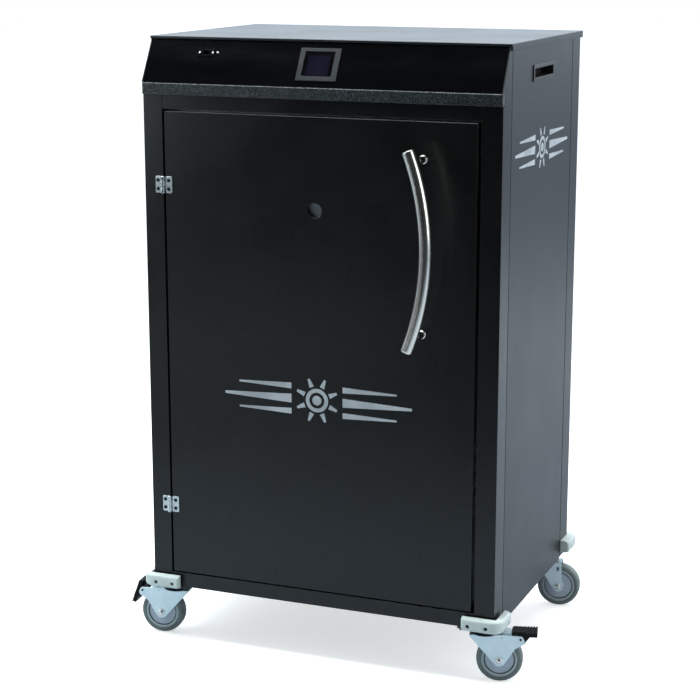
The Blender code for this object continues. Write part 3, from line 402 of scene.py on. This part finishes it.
BEZEL = moulded_plastic(
    "bezel_plastic", (0.014, 0.0155, 0.0165), (0.022, 0.024, 0.025), (0.30, 0.40), gloss=0.3)
BLACK_PLASTIC = moulded_plastic(
    "black_plastic", (0.0020, 0.0021, 0.0022), (0.0042, 0.0044, 0.0046), (0.42, 0.58), 700.0, 0.00008, 0.2)
SEAL = moulded_plastic("seal_rubber", (0.020, 0.020, 0.021), (0.032, 0.032, 0.034), (0.60, 0.78))
ENAMEL = moulded_plastic(
    "white_enamel", (0.70, 0.71, 0.71), (0.78, 0.79, 0.79), (0.30, 0.42), 500.0, 0.00004)
TYRE = tyre_rubber()
WINDOW = clear_glass("window_acrylic", (0.42, 0.47, 0.48), 0.10, 0.72)
QUARTZ = clear_glass("lamp_quartz", (0.90, 0.93, 0.97), 0.02, 0.15)
SCREEN = screen_glass()
PRINT = silver_print()
# Painted glint: a weak white glow on a small dot of the console, in place of a glint.
PAINTED_GLINT = glint_glow("painted_glint_glow", (0.85, 0.88, 0.90), 0.10)
HUB = hub_plastic()


# ---------------------------------------------------------------- mesh building

def to_mesh(bm, name):
    bmesh.ops.recalc_face_normals(bm, faces=bm.faces)
    mesh = bpy.data.meshes.new(name)
    bm.to_mesh(mesh)
    bm.free()
    return mesh


def piece(name, mesh, finish, body, stands_for=(), place=None, sharp=35):
    """New piece that rides on a body, with smooth shading up to an angle."""
    mesh.materials.clear()
    mesh.materials.append(finish)
    mesh.shade_smooth()
    mesh.set_sharp_from_angle(angle=math.radians(sharp))
    item = bpy.data.objects.new(name, mesh)
    bpy.context.scene.collection.objects.link(item)
    if place is not None:
        item.matrix_world = place
    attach(item, body)
    if stands_for:
        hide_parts(*stands_for)
    return item


def rounded(item, width, segments, angle):
    """Bevel a new piece's sharp edges."""
    bevel = item.modifiers.new("Rounded", "BEVEL")
    bevel.width = width
    bevel.segments = segments
    bevel.limit_method = "ANGLE"
    bevel.angle_limit = math.radians(angle)
    normals = item.modifiers.new("Normals", "WEIGHTED_NORMAL")
    normals.keep_sharp = True


def ring_of(bm, points):
    return [bm.verts.new(point) for point in points]


def bridge(bm, first, second):
    count = len(first)
    for i in range(count):
        j = (i + 1) % count
        bm.faces.new((first[i], first[j], second[j], second[i]))


def prism(bm, outline, matrix, depth_low, depth_high):
    """Outline in local X and Y, pushed along local Z."""
    near = ring_of(bm, [matrix @ Vector((x, y, depth_low)) for x, y in outline])
    far = ring_of(bm, [matrix @ Vector((x, y, depth_high)) for x, y in outline])
    bridge(bm, near, far)
    bm.faces.new(near[::-1])
    bm.faces.new(far)


def lathe(bm, profile, matrix, segments, closed=False):
    """Profile of (radius, height) turned about local Z; open profiles get end caps."""
    rings = []
    for radius, height in profile:
        points = []
        for i in range(segments):
            angle = 2 * math.pi * i / segments
            points.append(matrix @ Vector((radius * math.cos(angle), radius * math.sin(angle), height)))
        rings.append(ring_of(bm, points))
    for first, second in zip(rings, rings[1:]):
        bridge(bm, first, second)
    if closed:
        bridge(bm, rings[-1], rings[0])
    else:
        bm.faces.new(rings[0][::-1])
        bm.faces.new(rings[-1])


def arc(centre, radius, start, end, steps):
    """Points along an arc between two angles in degrees."""
    points = []
    for i in range(steps + 1):
        angle = math.radians(start + (end - start) * i / steps)
        points.append((centre[0] + radius * math.cos(angle), centre[1] + radius * math.sin(angle)))
    return points


def rounded_rectangle(low_corner, high_corner, radius, steps=5):
    """Rectangle outline with round corners, anticlockwise."""
    x0, y0 = (value + radius for value in low_corner)
    x1, y1 = (value - radius for value in high_corner)
    outline = []
    for centre, start in (((x1, y0), -90), ((x1, y1), 0), ((x0, y1), 90), ((x0, y0), 180)):
        outline += arc(centre, radius, start, start + 90, steps)
    return outline


def refine(node, finish, width):
    """Give a CAD node its finish and, where a width is given, softly rounded edges."""
    item = NODES[node]
    item.data.materials.clear()
    item.data.materials.append(finish)
    for face in item.data.polygons:
        face.use_smooth = True
    weld = item.modifiers.new("Weld", "WELD")
    weld.merge_threshold = 0.00001
    if width:
        bevel = item.modifiers.new("Bevel", "BEVEL")
        bevel.width = width
        bevel.segments = 2
        bevel.limit_method = "ANGLE"
        bevel.angle_limit = math.radians(35)
    normals = item.modifiers.new("Normals", "WEIGHTED_NORMAL")
    normals.keep_sharp = False


# ---------------------------------------------------------------- fasteners

def pan_screw(bm, matrix, radius):
    """Domed screw head that stands on local Z."""
    height = 0.45 * radius
    dome = [(radius * math.cos(t), height * (0.25 + 0.75 * math.sin(t)))
            for t in (math.pi / 2 * i / 5 for i in range(5))]
    lathe(bm, [(radius, -0.0002)] + dome + [(0.18 * radius, height)], matrix, 24)


def screw_piece(name, frames, radius, finish, body):
    """Several equal screws on one body, as one piece, each with its cross recess cut in."""
    bm = bmesh.new()
    for matrix in frames:
        pan_screw(bm, matrix, radius)
    cut = bmesh.new()
    half, arm, base = 0.11 * radius, 0.58 * radius, 0.18 * radius
    for matrix in frames:
        for a, b in ((half, arm), (arm, half)):
            prism(cut, [(-a, -b), (a, -b), (a, b), (-a, b)], matrix, base, radius)
    item = piece(name, to_mesh(bm, name), finish, body, sharp=40)
    carve(item, cutter(name + "_cut", cut))


def cutter(name, bm):
    """Plain object for a cut; carve removes it again."""
    tool = bpy.data.objects.new(name, to_mesh(bm, name))
    bpy.context.scene.collection.objects.link(tool)
    return tool


def carve(item, tool):
    """Cut a tool out of a piece at once, so that no cutter is left in the scene."""
    step = item.modifiers.new("Carve", "BOOLEAN")
    step.operation = "DIFFERENCE"
    step.solver = "EXACT"
    step.use_self = True
    step.object = tool
    depsgraph = bpy.context.evaluated_depsgraph_get()
    result = bpy.data.meshes.new_from_object(item.evaluated_get(depsgraph))
    item.modifiers.remove(step)
    item.data = result
    bpy.data.objects.remove(tool)


# ---------------------------------------------------------------- body

def dress_body():
    """Painted sheet metal."""
    for node in ("front_left_post", "front_right_post", "bottom_front_rail", "top_front_rail"):
        refine(node, COAT, 0.0010)
    # Painted light: the sides and back take the lighter, bluer copy of the black coat.
    for node in ("left_side_panel", "right_side_panel", "back_panel"):
        refine(node, LIT_SIDE_COAT, 0.0009)
    refine("base_pan", COAT, 0.0005)
    # Painted light: the lid takes the same lighter copy of the coat.
    refine("lid", LIT_SIDE_COAT, 0.0009)
    refine("header_strip", HAMMERED, 0.0010)
    refine("control_panel", GLOSS, 0.0004)
    refine("door_shell", COAT, 0.0008)
    refine("door_inner_panel", CHAMBER_STEEL, 0.0004)
    refine("door_seal", SEAL, 0.0012)
    refine("display_bezel", BEZEL, 0.0007)
    refine("display_screen", SCREEN, 0.0002)
    refine("service_port", GLOSS, 0.0002)
    refine("left_grip", GRIP, 0.0006)
    refine("right_grip", GRIP, 0.0006)
    refine("window_glass", WINDOW, 0.0004)
    refine("magnetic_catch", BLACK_PLASTIC, 0.0)
    refine("power_inlet", BLACK_PLASTIC, 0.0003)
    refine("power_rocker", BLACK_PLASTIC, 0.0005)


def dress_chamber():
    """Stainless chamber and what stands in it."""
    refine("chamber_liner", CHAMBER_STEEL, 0.0004)
    for node in ("lower_shelf", "middle_shelf", "upper_shelf"):
        refine(node, CHAMBER_STEEL, 0.0003)
    refine("lamp_batten", ENAMEL, 0.0012)
    refine("electronics_box", ENAMEL, 0.0)


def build_lamp(side):
    """Quartz tube with a polished cap at either end."""
    node = f"{side}_uv_lamp"
    spot, base, top = middle(node), low(node).z, high(node).z
    radius = 0.013
    cap = 0.018
    column = Matrix.Translation((spot.x, spot.y, 0))
    tube = bmesh.new()
    glass = [(radius - 0.0012, base + 0.6 * cap), (radius, base + 0.7 * cap),
             (radius, top - 0.7 * cap), (radius - 0.0012, top - 0.6 * cap)]
    lathe(tube, glass, column, 40)
    piece(f"{side}_lamp_tube", to_mesh(tube, "tube"), QUARTZ, "cabinet", [node])
    caps = bmesh.new()
    for start, sign in ((base, 1), (top, -1)):
        steps = ((-0.0015, 0.0), (0.0, 0.0015), (0.0003, 0.004), (0.0003, cap - 0.003), (-0.0002, cap))
        profile = [(radius + grow, start + sign * reach) for grow, reach in steps]
        lathe(caps, profile, column, 40)
    piece(f"{side}_lamp_caps", to_mesh(caps, "caps"), POLISHED, "cabinet", sharp=50)


def build_back_screws():
    """Screws around the edge of the back panel and on the inlet's flange."""
    edge, foot, head, gaps = 0.012, 0.060, 0.030, 5
    reach = BODY_HIGH.x - CENTRE_X - edge
    step = (BODY_HIGH.z - BODY_LOW.z - foot - head) / gaps
    heights = [BODY_LOW.z + foot + i * step for i in range(gaps + 1)]
    frames = [on_back(CENTRE_X + side * reach, z) for side in SIDES.values() for z in heights]
    frames += [on_back(CENTRE_X + x, BODY_HIGH.z - head) for x in (-0.2, 0.0, 0.2)]
    screw_piece("back_screws", frames, 0.0036, DARK_STEEL, "cabinet")
    spot = middle("power_inlet")
    flange_y, spread = high("power_inlet").y, 0.018
    frames = [frame_of(Vector((spot.x + side * spread, flange_y, spot.z)), -X, Z) for side in (-1, 1)]
    screw_piece("inlet_screws", frames, 0.0022, DARK_STEEL, "cabinet")


# ---------------------------------------------------------------- console

def slope_frame():
    """Frame on the console's sloped face, from its lower middle."""
    bottom = low("control_panel")
    top = high("control_panel")
    strip = high("header_strip").z
    sheet = 0.0015
    direction = Vector((0, top.y - bottom.y - sheet, top.z - strip)).normalized()
    return frame_of(Vector((CENTRE_X, low("header_strip").y, strip)), X, direction)


def build_console_fittings():
    """Port screws and a small glowing dot on the sloped face; its glow is a painted glint."""
    slope = slope_frame()
    to_slope = slope.inverted()
    port_low, port_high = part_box("service_port")
    spot = to_slope @ ((port_low + port_high) / 2)
    screw_out, plate_face, glint_dot_out = 0.0145, 0.0013, 0.0245
    frames = [slope @ Matrix.Translation((spot.x + side * screw_out, spot.y, plate_face))
              for side in (-1, 1)]
    screw_piece("port_screws", frames, 0.0021, NICKEL, "cabinet")
    # Glowing dot: its glow is a painted glint, not a lamp.
    glint_dot = bmesh.new()
    lathe(glint_dot, [(0.0020, 0.0), (0.0020, 0.0009), (0.0014, 0.0016), (0.0005, 0.0019)],
          slope @ Matrix.Translation((spot.x + glint_dot_out, spot.y + 0.0015, -0.0002)), 24)
    piece("glowing_dot", to_mesh(glint_dot, "glint_dot"), PAINTED_GLINT, "cabinet")


# ---------------------------------------------------------------- guards

def build_guard(name):
    """Corner bumper: a softly rounded L with sunk screws in both arms."""
    box_low, box_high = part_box(name)
    side = 1 if "right" in name else -1
    face = -1 if "front" in name else 1
    corner = Vector((box_high.x if side > 0 else box_low.x, box_low.y if face < 0 else box_high.y, 0))
    arm_x, arm_y = box_high.x - box_low.x, box_high.y - box_low.y
    thick = abs(corner.y - (BODY_LOW.y if face < 0 else BODY_HIGH.y)) - CLEAR
    big, small = 0.022, 0.003
    outline = [(arm_x, thick), (arm_x, small), (arm_x - small, 0.0)]
    outline += arc((big, big), big, 270, 180, 10)
    outline += [(0.0, arm_y - small), (small, arm_y), (thick, arm_y), (thick, thick)]
    points = [(corner.x - side * x, corner.y - face * y) for x, y in outline]
    bm = bmesh.new()
    prism(bm, points, Matrix.Identity(4), box_low.z, box_high.z)
    body = piece(name + "_shell", to_mesh(bm, name), GUARD, "cabinet", [name])
    round_guard(body, thick, corner)
    z = (box_low.z + box_high.z) / 2 - 0.003
    skin, screws_across, screw_along = 0.0009, (0.032, 0.070), 0.055
    across, along = -X * face, Y * side
    frames = [frame_of(Vector((corner.x - side * x, corner.y - face * skin, z)), across, Z)
              for x in screws_across]
    spot = Vector((corner.x - side * skin, corner.y - face * screw_along, z))
    frames.append(frame_of(spot, along, Z))
    wells = bmesh.new()
    for matrix in frames:
        lathe(wells, [(0.0036, -0.006), (0.0040, -0.0014), (0.0046, 0.004)], matrix, 24)
    carve(body, cutter("wells", wells))
    body.data.shade_smooth()
    body.data.set_sharp_from_angle(angle=math.radians(32))
    sunk = [matrix @ Matrix.Translation((0, 0, -0.0052)) for matrix in frames]
    screw_piece(name + "_screws", sunk, 0.0034, DARK_STEEL, "cabinet")


def round_guard(body, thick, corner):
    """Round every outer edge of a guard, but leave those against the body square."""
    bm = bmesh.new()
    bm.from_mesh(body.data)
    limit = thick - 0.0005

    def depth(vert):
        return min(abs(corner.x - vert.co.x), abs(corner.y - vert.co.y))

    def is_outer(edge):
        sharp = edge.is_convex and edge.calc_face_angle(0) > math.radians(50)
        return sharp and max(depth(vert) for vert in edge.verts) < limit

    edges = [edge for edge in bm.edges if is_outer(edge)]
    bmesh.ops.bevel(
        bm, geom=edges, offset=0.0062, segments=6, profile=0.5, affect="EDGES", clamp_overlap=True)
    bm.normal_update()
    bm.to_mesh(body.data)
    bm.free()


# ---------------------------------------------------------------- door fittings

def build_handle():
    """Bowed tube of brushed stainless steel with softened ends."""
    box_low, box_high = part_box("handle_bar")
    tube = (box_high.y - box_low.y) / 2
    spot_y = (box_low.y + box_high.y) / 2
    near, likely_radius = 0.0015, 0.5
    verts = [vert.co for vert in NODES["handle_bar"].data.vertices]
    tip_z = max(co.z for co in verts if abs(co.x - box_low.x) < near)
    rise = tip_z - middle("handle_bar").z
    end_x = box_low.x + tube * math.cos(math.atan2(rise, likely_radius))
    bow = (box_high.x - tube) - end_x
    radius = (rise * rise + bow * bow) / (2 * bow)
    centre = Vector((box_high.x - tube - radius, spot_y, middle("handle_bar").z))
    half_angle = math.asin(min(0.99, rise / radius))
    bm = bmesh.new()
    around, along, lip = 48, 96, 0.0012
    rings = []

    def ring(angle, reach):
        out = Vector((math.cos(angle), 0, math.sin(angle)))
        turns = [2 * math.pi * i / around for i in range(around)]
        spokes = [out * math.cos(t) + Y * math.sin(t) for t in turns]
        return ring_of(bm, [centre + out * radius + spoke * reach for spoke in spokes])

    step = lip / radius
    rings.append(ring(-half_angle, tube - lip))
    rings.append(ring(-half_angle + 0.3 * step, tube - 0.3 * lip))
    for i in range(along + 1):
        rings.append(ring(-half_angle + step + 2 * (half_angle - step) * i / along, tube))
    rings.append(ring(half_angle - 0.3 * step, tube - 0.3 * lip))
    rings.append(ring(half_angle, tube - lip))
    for first, second in zip(rings, rings[1:]):
        bridge(bm, first, second)
    bm.faces.new(rings[0][::-1])
    bm.faces.new(rings[-1])
    piece("handle_tube", to_mesh(bm, "handle"), HANDLE_STEEL, "door",
          ["handle_bar"], sharp=50)


def build_standoff(node):
    """Turned post between door and handle, with a small foot and a fine groove."""
    box_low, box_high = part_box(node)
    spot = middle(node)
    foot, tip = box_high.y, box_low.y
    base = frame_of(Vector((spot.x, foot, spot.z)), X, Z)
    length = foot - tip
    post, groove = 0.0070, 0.6 * length
    profile = [(0.0082, 0.0), (0.0088, 0.0006), (0.0088, 0.0026), (0.0080, 0.0036), (post, 0.0040),
               (post, groove), (post - 0.0004, groove + 0.0008), (post, groove + 0.0016),
               (post, length)]
    bm = bmesh.new()
    lathe(bm, profile, base, 48)
    piece(node + "_turned", to_mesh(bm, node), POLISHED, "door", [node], sharp=50)


def chamfered_rod(bm, radius, start, end, chamfer, upright, segments):
    """Upright rod whose two ends have a small chamfer of (inwards, along)."""
    inwards, along = chamfer
    profile = [(radius - inwards, start), (radius, start + along), (radius, end - along),
               (radius - inwards, end)]
    lathe(bm, profile, upright, segments)


def build_hinge_leaf(level, leaf):
    """One pressed leaf with its curled knuckles and two screws; the frame's leaf has the pin."""
    node = f"{level}_hinge_{leaf}_leaf"
    axis = joint_place("door_hinge")
    frame_low, frame_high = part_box(f"{level}_hinge_frame_leaf")
    z = (frame_low.z + frame_high.z) / 2
    pin_head, thick, knuckle, inner, band = 0.0012, 0.0024, 0.0046, 0.0053, 0.00695
    half = (frame_high.z - frame_low.z) / 2 - pin_head
    back_y = FRONT_Y - CLEAR
    back = frame_of(Vector((axis.x, back_y, 0)), X, Z)
    upright = Matrix.Translation((axis.x, axis.y, 0))
    if leaf == "frame":
        side, width, body = -1, axis.x - frame_low.x, "cabinet"
        spans = [(z - half, z - band), (z + band, z + half)]
    else:
        side, width, body = 1, high(node).x - axis.x, "door"
        spans = [(z - band + CLEAR, z + band - CLEAR)]
    bm = bmesh.new()
    outline = rounded_rectangle((inner, z - half), (width, z + half), 0.0022)
    if side < 0:
        outline = [(-x, h) for x, h in outline][::-1]
    prism(bm, outline, back, 0.0, thick)
    reach = side * (inner + 0.001)
    for start, end in spans:
        tongue = [(0.0, start), (reach, start), (reach, end), (0.0, end)]
        prism(bm, tongue if side > 0 else tongue[::-1], back, CLEAR, thick - 0.0002)
        chamfered_rod(bm, knuckle, start, end, (0.0005, 0.0005), upright, 40)
    if leaf == "frame":
        chamfered_rod(
            bm, 0.0023, z - half - pin_head, z + half + pin_head, (0.0005, 0.0006), upright, 24)
    item = piece(f"{level}_{leaf}_leaf", to_mesh(bm, "leaf"), NICKEL, body,
                 [node], sharp=40)
    rounded(item, 0.0004, 2, 50)
    mid = axis.x + side * (inner + width) / 2
    screws = [frame_of(Vector((mid, back_y - thick, z + dz)), X, Z) for dz in (-0.0088, 0.0088)]
    screw_piece(f"{level}_{leaf}_leaf_screws", screws, 0.0039, DARK_STEEL, body)


def build_window_trim():
    """Thin dark ring seated in the door's round window."""
    spot = middle("window_glass")
    glass_y = low("window_glass").y
    depth = glass_y - FRONT_Y
    base = frame_of(Vector((spot.x, glass_y - CLEAR, spot.z)), X, Z)
    seat = 0.004
    radius = (high("window_glass").x - low("window_glass").x) / 2 - seat
    profile = [(radius - 0.0004, 0.0), (radius - 0.0004, depth - 0.0022),
               (radius - 0.0012, depth - 0.0026), (radius - 0.0018, depth - 0.0030),
               (radius - 0.0018, 0.0)]
    bm = bmesh.new()
    lathe(bm, profile, base, 64, closed=True)
    piece("window_trim", to_mesh(bm, "trim"), BEZEL, "door", sharp=50)


# ---------------------------------------------------------------- generic emblem

def emblem(bm, matrix, scale):
    """Plain sun-ray device: a ring, eight rays and three tapering bars to each side."""
    def flat(points):
        prism(bm, [(x * scale, y * scale) for x, y in points], matrix, 0.00005, 0.00020)

    outer, inner, steps = 0.0245, 0.0165, 48
    for i in range(steps):
        a, b = (2 * math.pi * (i + k) / steps for k in (0, 1))
        flat([(inner * math.cos(a), inner * math.sin(a)), (outer * math.cos(a), outer * math.sin(a)),
              (outer * math.cos(b), outer * math.sin(b)), (inner * math.cos(b), inner * math.sin(b))])
    flat(arc((0, 0), 0.0100, 0, 360 - 7.5, 47))
    for i in range(8):
        angle = math.pi / 4 * i + math.pi / 8
        along = Vector((math.cos(angle), math.sin(angle)))
        across = Vector((-along.y, along.x))
        corners = [along * 0.029 - across * 0.0052, along * 0.047 - across * 0.0024,
                   along * 0.047 + across * 0.0024, along * 0.029 + across * 0.0052]
        flat([tuple(corner) for corner in corners])
    for side in (-1, 1):
        bars = ((0.0, 0.148, 0.0092), (0.0265, 0.116, 0.0060), (-0.0265, 0.116, 0.0060))
        for y, length, half in bars:
            near, far = side * 0.056, side * (0.056 + length)
            bar = [(near, y - half), (far, y - 0.3 * half), (far, y + 0.3 * half), (near, y + half)]
            flat(bar if side > 0 else bar[::-1])


def build_emblems():
    """Generic silver device on the door and on both sides, in place of any marking."""
    door_level, side_level, side_scale = 0.560, 1.060, 0.92
    bm = bmesh.new()
    emblem(bm, on_front(middle("door_shell").x, door_level), 1.0)
    piece("door_emblem", to_mesh(bm, "emblem"), PRINT, "door")
    for name, side in SIDES.items():
        bm = bmesh.new()
        emblem(bm, on_side(side, CENTRE_Y, side_level), side_scale)
        piece(f"{name}_side_emblem", to_mesh(bm, "emblem"), PRINT, "cabinet")


# ---------------------------------------------------------------- casters

def wheel_place(caster):
    """Wheel centre frame whose Y axis is the axle."""
    spot = joint_place(f"{caster}_wheel_spin")
    axle = joint_axis(f"{caster}_wheel_spin")
    turn = Matrix((axle.cross(Z), axle, Z)).transposed().to_4x4()
    return Matrix.Translation(spot) @ turn


def hub_profile(half, rim):
    """(radius, height) half section of the hub, from the bore outwards."""
    bore, boss, groove = 0.0043, 0.0108, HUB_GROOVE
    return [
        (bore, half + 0.0008), (boss - 0.0008, half + 0.0008), (boss, half + 0.0002),
        (boss + 0.0007, half - 0.0035), (boss + 0.0014, half - 0.0041),
        (groove - 0.0030, half - 0.0034), (groove - 0.0013, half - 0.0036),
        (groove - 0.0007, half - 0.0054), (groove + 0.0006, half - 0.0054),
        (groove + 0.0012, half - 0.0026), (groove + 0.0021, half - 0.0018),
        (rim - 0.0008, half - 0.0018), (rim, half - 0.0024),
    ]


def tyre_profile(half, rim, radius):
    """Half section of the tyre: a step at the rim, a full shoulder and a crowned tread."""
    shoulder = [(radius - 0.0075 + 0.0071 * math.sin(t), half - 0.0075 + 0.0068 * math.cos(t))
                for t in (math.pi / 2 * i / 7 for i in range(8))]
    crown = [(radius - 0.0004 * (k / 3) ** 2, (half - 0.0075) * k / 3) for k in (2, 1)]
    return [(rim + 0.0003, half - 0.0026), (rim + 0.0006, half - 0.0012)] + shoulder + crown


def mirrored_profile(half_profile, centre_points=()):
    """Half section and its mirror image, as one closed loop."""
    back = [(r, -h) for r, h in reversed(half_profile)]
    return half_profile + list(centre_points) + back


def build_wheel(caster):
    """Hub and tyre turned finely about the axle."""
    place = wheel_place(caster)
    radius = (high(f"{caster}_tyre").z - low(f"{caster}_tyre").z) / 2
    rim = (high(f"{caster}_hub").z - low(f"{caster}_hub").z) / 2
    half = WHEEL_WIDE / 2
    about_y = Matrix.Rotation(-math.pi / 2, 4, "X")
    hub, tyre = bmesh.new(), bmesh.new()
    hub_section = mirrored_profile(hub_profile(half, rim))
    tyre_section = mirrored_profile(tyre_profile(half, rim, radius), [(radius, 0.0)])
    lathe(hub, hub_section, about_y, 96, closed=True)
    lathe(tyre, tyre_section, about_y, 96, closed=True)
    body = f"{caster}_wheel"
    piece(f"{body}_hub", to_mesh(hub, "hub"), HUB, body, [f"{caster}_hub"], place, 30)
    piece(f"{body}_tyre", to_mesh(tyre, "tyre"), TYRE, body, [f"{caster}_tyre"], place, 40)


def build_axle_nuts(caster):
    """Domed axle ends with washers over the fork's bolt heads."""
    washer = [(0.0084, 0.0199), (0.0088, 0.0204), (0.0086, 0.0211), (0.0060, 0.0213)]
    dome = [(0.0058, 0.0240), (0.0056, 0.0254), (0.0044, 0.0266), (0.0020, 0.0272)]
    place = wheel_place(caster)
    bm = bmesh.new()
    for side in (-1, 1):
        outwards = place @ Matrix.Rotation(-math.pi / 2 * side, 4, "X")
        lathe(bm, washer, outwards, 40)
        lathe(bm, dome, outwards, 32)
    piece(f"{caster}_axle_nuts", to_mesh(bm, "nuts"), POLISHED, f"{caster}_swivel", sharp=40)


def build_race_ring(caster):
    """Ball race ring between the plate and the fork."""
    spot = joint_place(f"{caster}_swivel_pivot")
    base = spot.z - 0.0016
    profile = [(0.0228, base), (0.0262, base + 0.0006), (0.0270, base + 0.0020),
               (0.0262, base + 0.0028), (0.0228, base + 0.0028)]
    bm = bmesh.new()
    lathe(bm, profile, Matrix.Translation((spot.x, spot.y, 0)), 48, closed=True)
    piece(f"{caster}_race_ring", to_mesh(bm, "race"), DARK_STEEL, f"{caster}_swivel", sharp=40)


def dress_casters():
    for caster in CASTERS:
        refine(f"{caster}_caster_plate", DARK_STEEL, 0.0004)
        refine(f"{caster}_fork", ZINC, 0.0005)
        build_wheel(caster)
        build_axle_nuts(caster)
        build_race_ring(caster)
    refine("left_brake_pedal", BLACK_PLASTIC, 0.0003)
    refine("right_brake_pedal", BLACK_PLASTIC, 0.0003)


# ---------------------------------------------------------------- stage

def area_light(name, place, target, size, power, colour=(1, 1, 1)):
    data = bpy.data.lights.new(name, "AREA")
    data.shape = "RECTANGLE"
    data.size, data.size_y = size
    data.energy = power
    data.color = colour
    item = bpy.data.objects.new(name, data)
    item.location = place
    item.rotation_euler = (Vector(target) - Vector(place)).to_track_quat("-Z", "Y").to_euler()
    bpy.context.scene.collection.objects.link(item)


def build_world():
    """White to the camera; to the object, bluish and bright behind but dark in front."""
    world = bpy.data.worlds.new("studio")
    bpy.context.scene.world = world
    world.use_nodes = True
    tree = world.node_tree
    tree.nodes.clear()

    def add(kind):
        return tree.nodes.new(kind)

    split = add("ShaderNodeSeparateXYZ")
    tree.links.new(add("ShaderNodeTexCoord").outputs["Generated"], split.inputs[0])
    ramp = add("ShaderNodeMapRange")
    ramp.inputs["From Min"].default_value = -0.45
    ramp.inputs["From Max"].default_value = 0.75
    ramp.inputs["To Min"].default_value = 0.02
    ramp.inputs["To Max"].default_value = 1.75
    tree.links.new(split.outputs[1], ramp.inputs["Value"])
    soft = add("ShaderNodeBackground")
    soft.inputs["Color"].default_value = (0.78, 0.89, 1.0, 1)
    tree.links.new(ramp.outputs["Result"], soft.inputs["Strength"])
    seen = add("ShaderNodeBackground")
    seen.inputs["Color"].default_value = (1, 1, 1, 1)
    choose = add("ShaderNodeMixShader")
    tree.links.new(add("ShaderNodeLightPath").outputs["Is Camera Ray"], choose.inputs[0])
    tree.links.new(soft.outputs[0], choose.inputs[1])
    tree.links.new(seen.outputs[0], choose.inputs[2])
    tree.links.new(choose.outputs[0], add("ShaderNodeOutputWorld").inputs["Surface"])


def build_floor():
    """Pale floor with a soft shadow; reflected, it is bluish and dark far out in front."""
    finish = Finish("pale_floor")
    split = finish.add("ShaderNodeSeparateXYZ")
    finish.wire(finish.place, split.inputs[0])
    nearer = finish.spread(split.outputs[1], -2.1, -0.9, 0.0, 1.0)
    behind = finish.spread(split.outputs[1], 1.3, 3.0, 0.0, 1.0)
    further = finish.spread(split.outputs[1], 4.1, 5.4, 0.0, 1.0)
    mirrored = finish.mix(nearer, (0.08, 0.09, 0.10), (0.48, 0.53, 0.58))
    mirrored = finish.mix(behind, mirrored, (0.93, 0.97, 1.00))
    mirrored = finish.mix(further, mirrored, (0.46, 0.50, 0.54))
    camera_ray = finish.add("ShaderNodeLightPath").outputs["Is Camera Ray"]
    cloud = finish.noise(1.5, 2.0)
    seen = finish.mix(cloud, (0.86, 0.86, 0.86), (0.88, 0.88, 0.88))
    finish.set(base_color=finish.mix(camera_ray, mirrored, seen), roughness=0.7,
               specular_ior_level=0.0, emission_color=(1.0, 1.0, 1.0),
               emission_strength=finish.spread(camera_ray, 0.0, 1.0, 0.04, 0.60))
    bm = bmesh.new()
    bm.faces.new(ring_of(bm, [(-14, -2.6, 0), (14, -2.6, 0), (14, 26, 0), (-14, 26, 0)]))
    mesh = bpy.data.meshes.new("floor")
    bm.to_mesh(mesh)
    bm.free()
    mesh.materials.append(finish.material)
    floor = bpy.data.objects.new("floor", mesh)
    floor.location = (0, 0, -0.0005)
    bpy.context.scene.collection.objects.link(floor)


def build_camera():
    """Long lens, from the right and a little above."""
    azimuth, elevation, distance = math.radians(21.88), math.radians(12.83), 3.968
    target = Vector((CENTRE_X - 0.0376, CENTRE_Y, 0.6049))
    level = math.cos(elevation)
    away = Vector((math.sin(azimuth) * level, -math.cos(azimuth) * level, math.sin(elevation)))
    data = bpy.data.cameras.new("camera")
    data.lens = 94.8
    data.sensor_width = 36.0
    data.clip_end = 100
    camera = bpy.data.objects.new("camera", data)
    camera.location = target + away * distance
    camera.rotation_euler = (-away).to_track_quat("-Z", "Y").to_euler()
    bpy.context.scene.collection.objects.link(camera)
    bpy.context.scene.camera = camera


def build_lights():
    area_light("overhead", (0.2, 0.6, 3.4), (0, 0.2, 0), (3.0, 2.2), 70)
    cool = (0.86, 0.96, 1.0)
    area_light("left_key", (-3.2, -1.2, 2.2), (0, 0, 0.6), (1.2, 2.2), 34, cool)
    area_light("left_front", (-1.5, -1.6, 1.3), (-0.35, -0.25, 1.0), (0.7, 1.1), 6.0, cool)
    area_light("edge_glint", (-1.0, -0.70, 3.2), (-1.0, -0.2, 0.6), (2.6, 0.6), 80, cool)
    area_light("right_fill", (3.4, -0.4, 1.6), (0.2, 0, 0.5), (1.0, 2.0), 26)
    area_light("floor_level", (-1.6, -2.4, 0.12), (-0.3, 0, 0.15), (2.0, 0.14), 1.5)


# ---------------------------------------------------------------- assembly

dress_body()
dress_chamber()
for lamp_side in SIDES:
    build_lamp(lamp_side)
build_back_screws()
build_console_fittings()
for guard in ("front_left_guard", "front_right_guard", "rear_left_guard", "rear_right_guard"):
    build_guard(guard)
build_handle()
build_standoff("upper_standoff")
build_standoff("lower_standoff")
for hinge_level in ("upper", "lower"):
    build_hinge_leaf(hinge_level, "frame")
    build_hinge_leaf(hinge_level, "door")
build_window_trim()
build_emblems()
dress_casters()

build_world()
build_floor()
build_lights()
build_camera()
bpy.context.scene.view_settings.view_transform = "Standard"
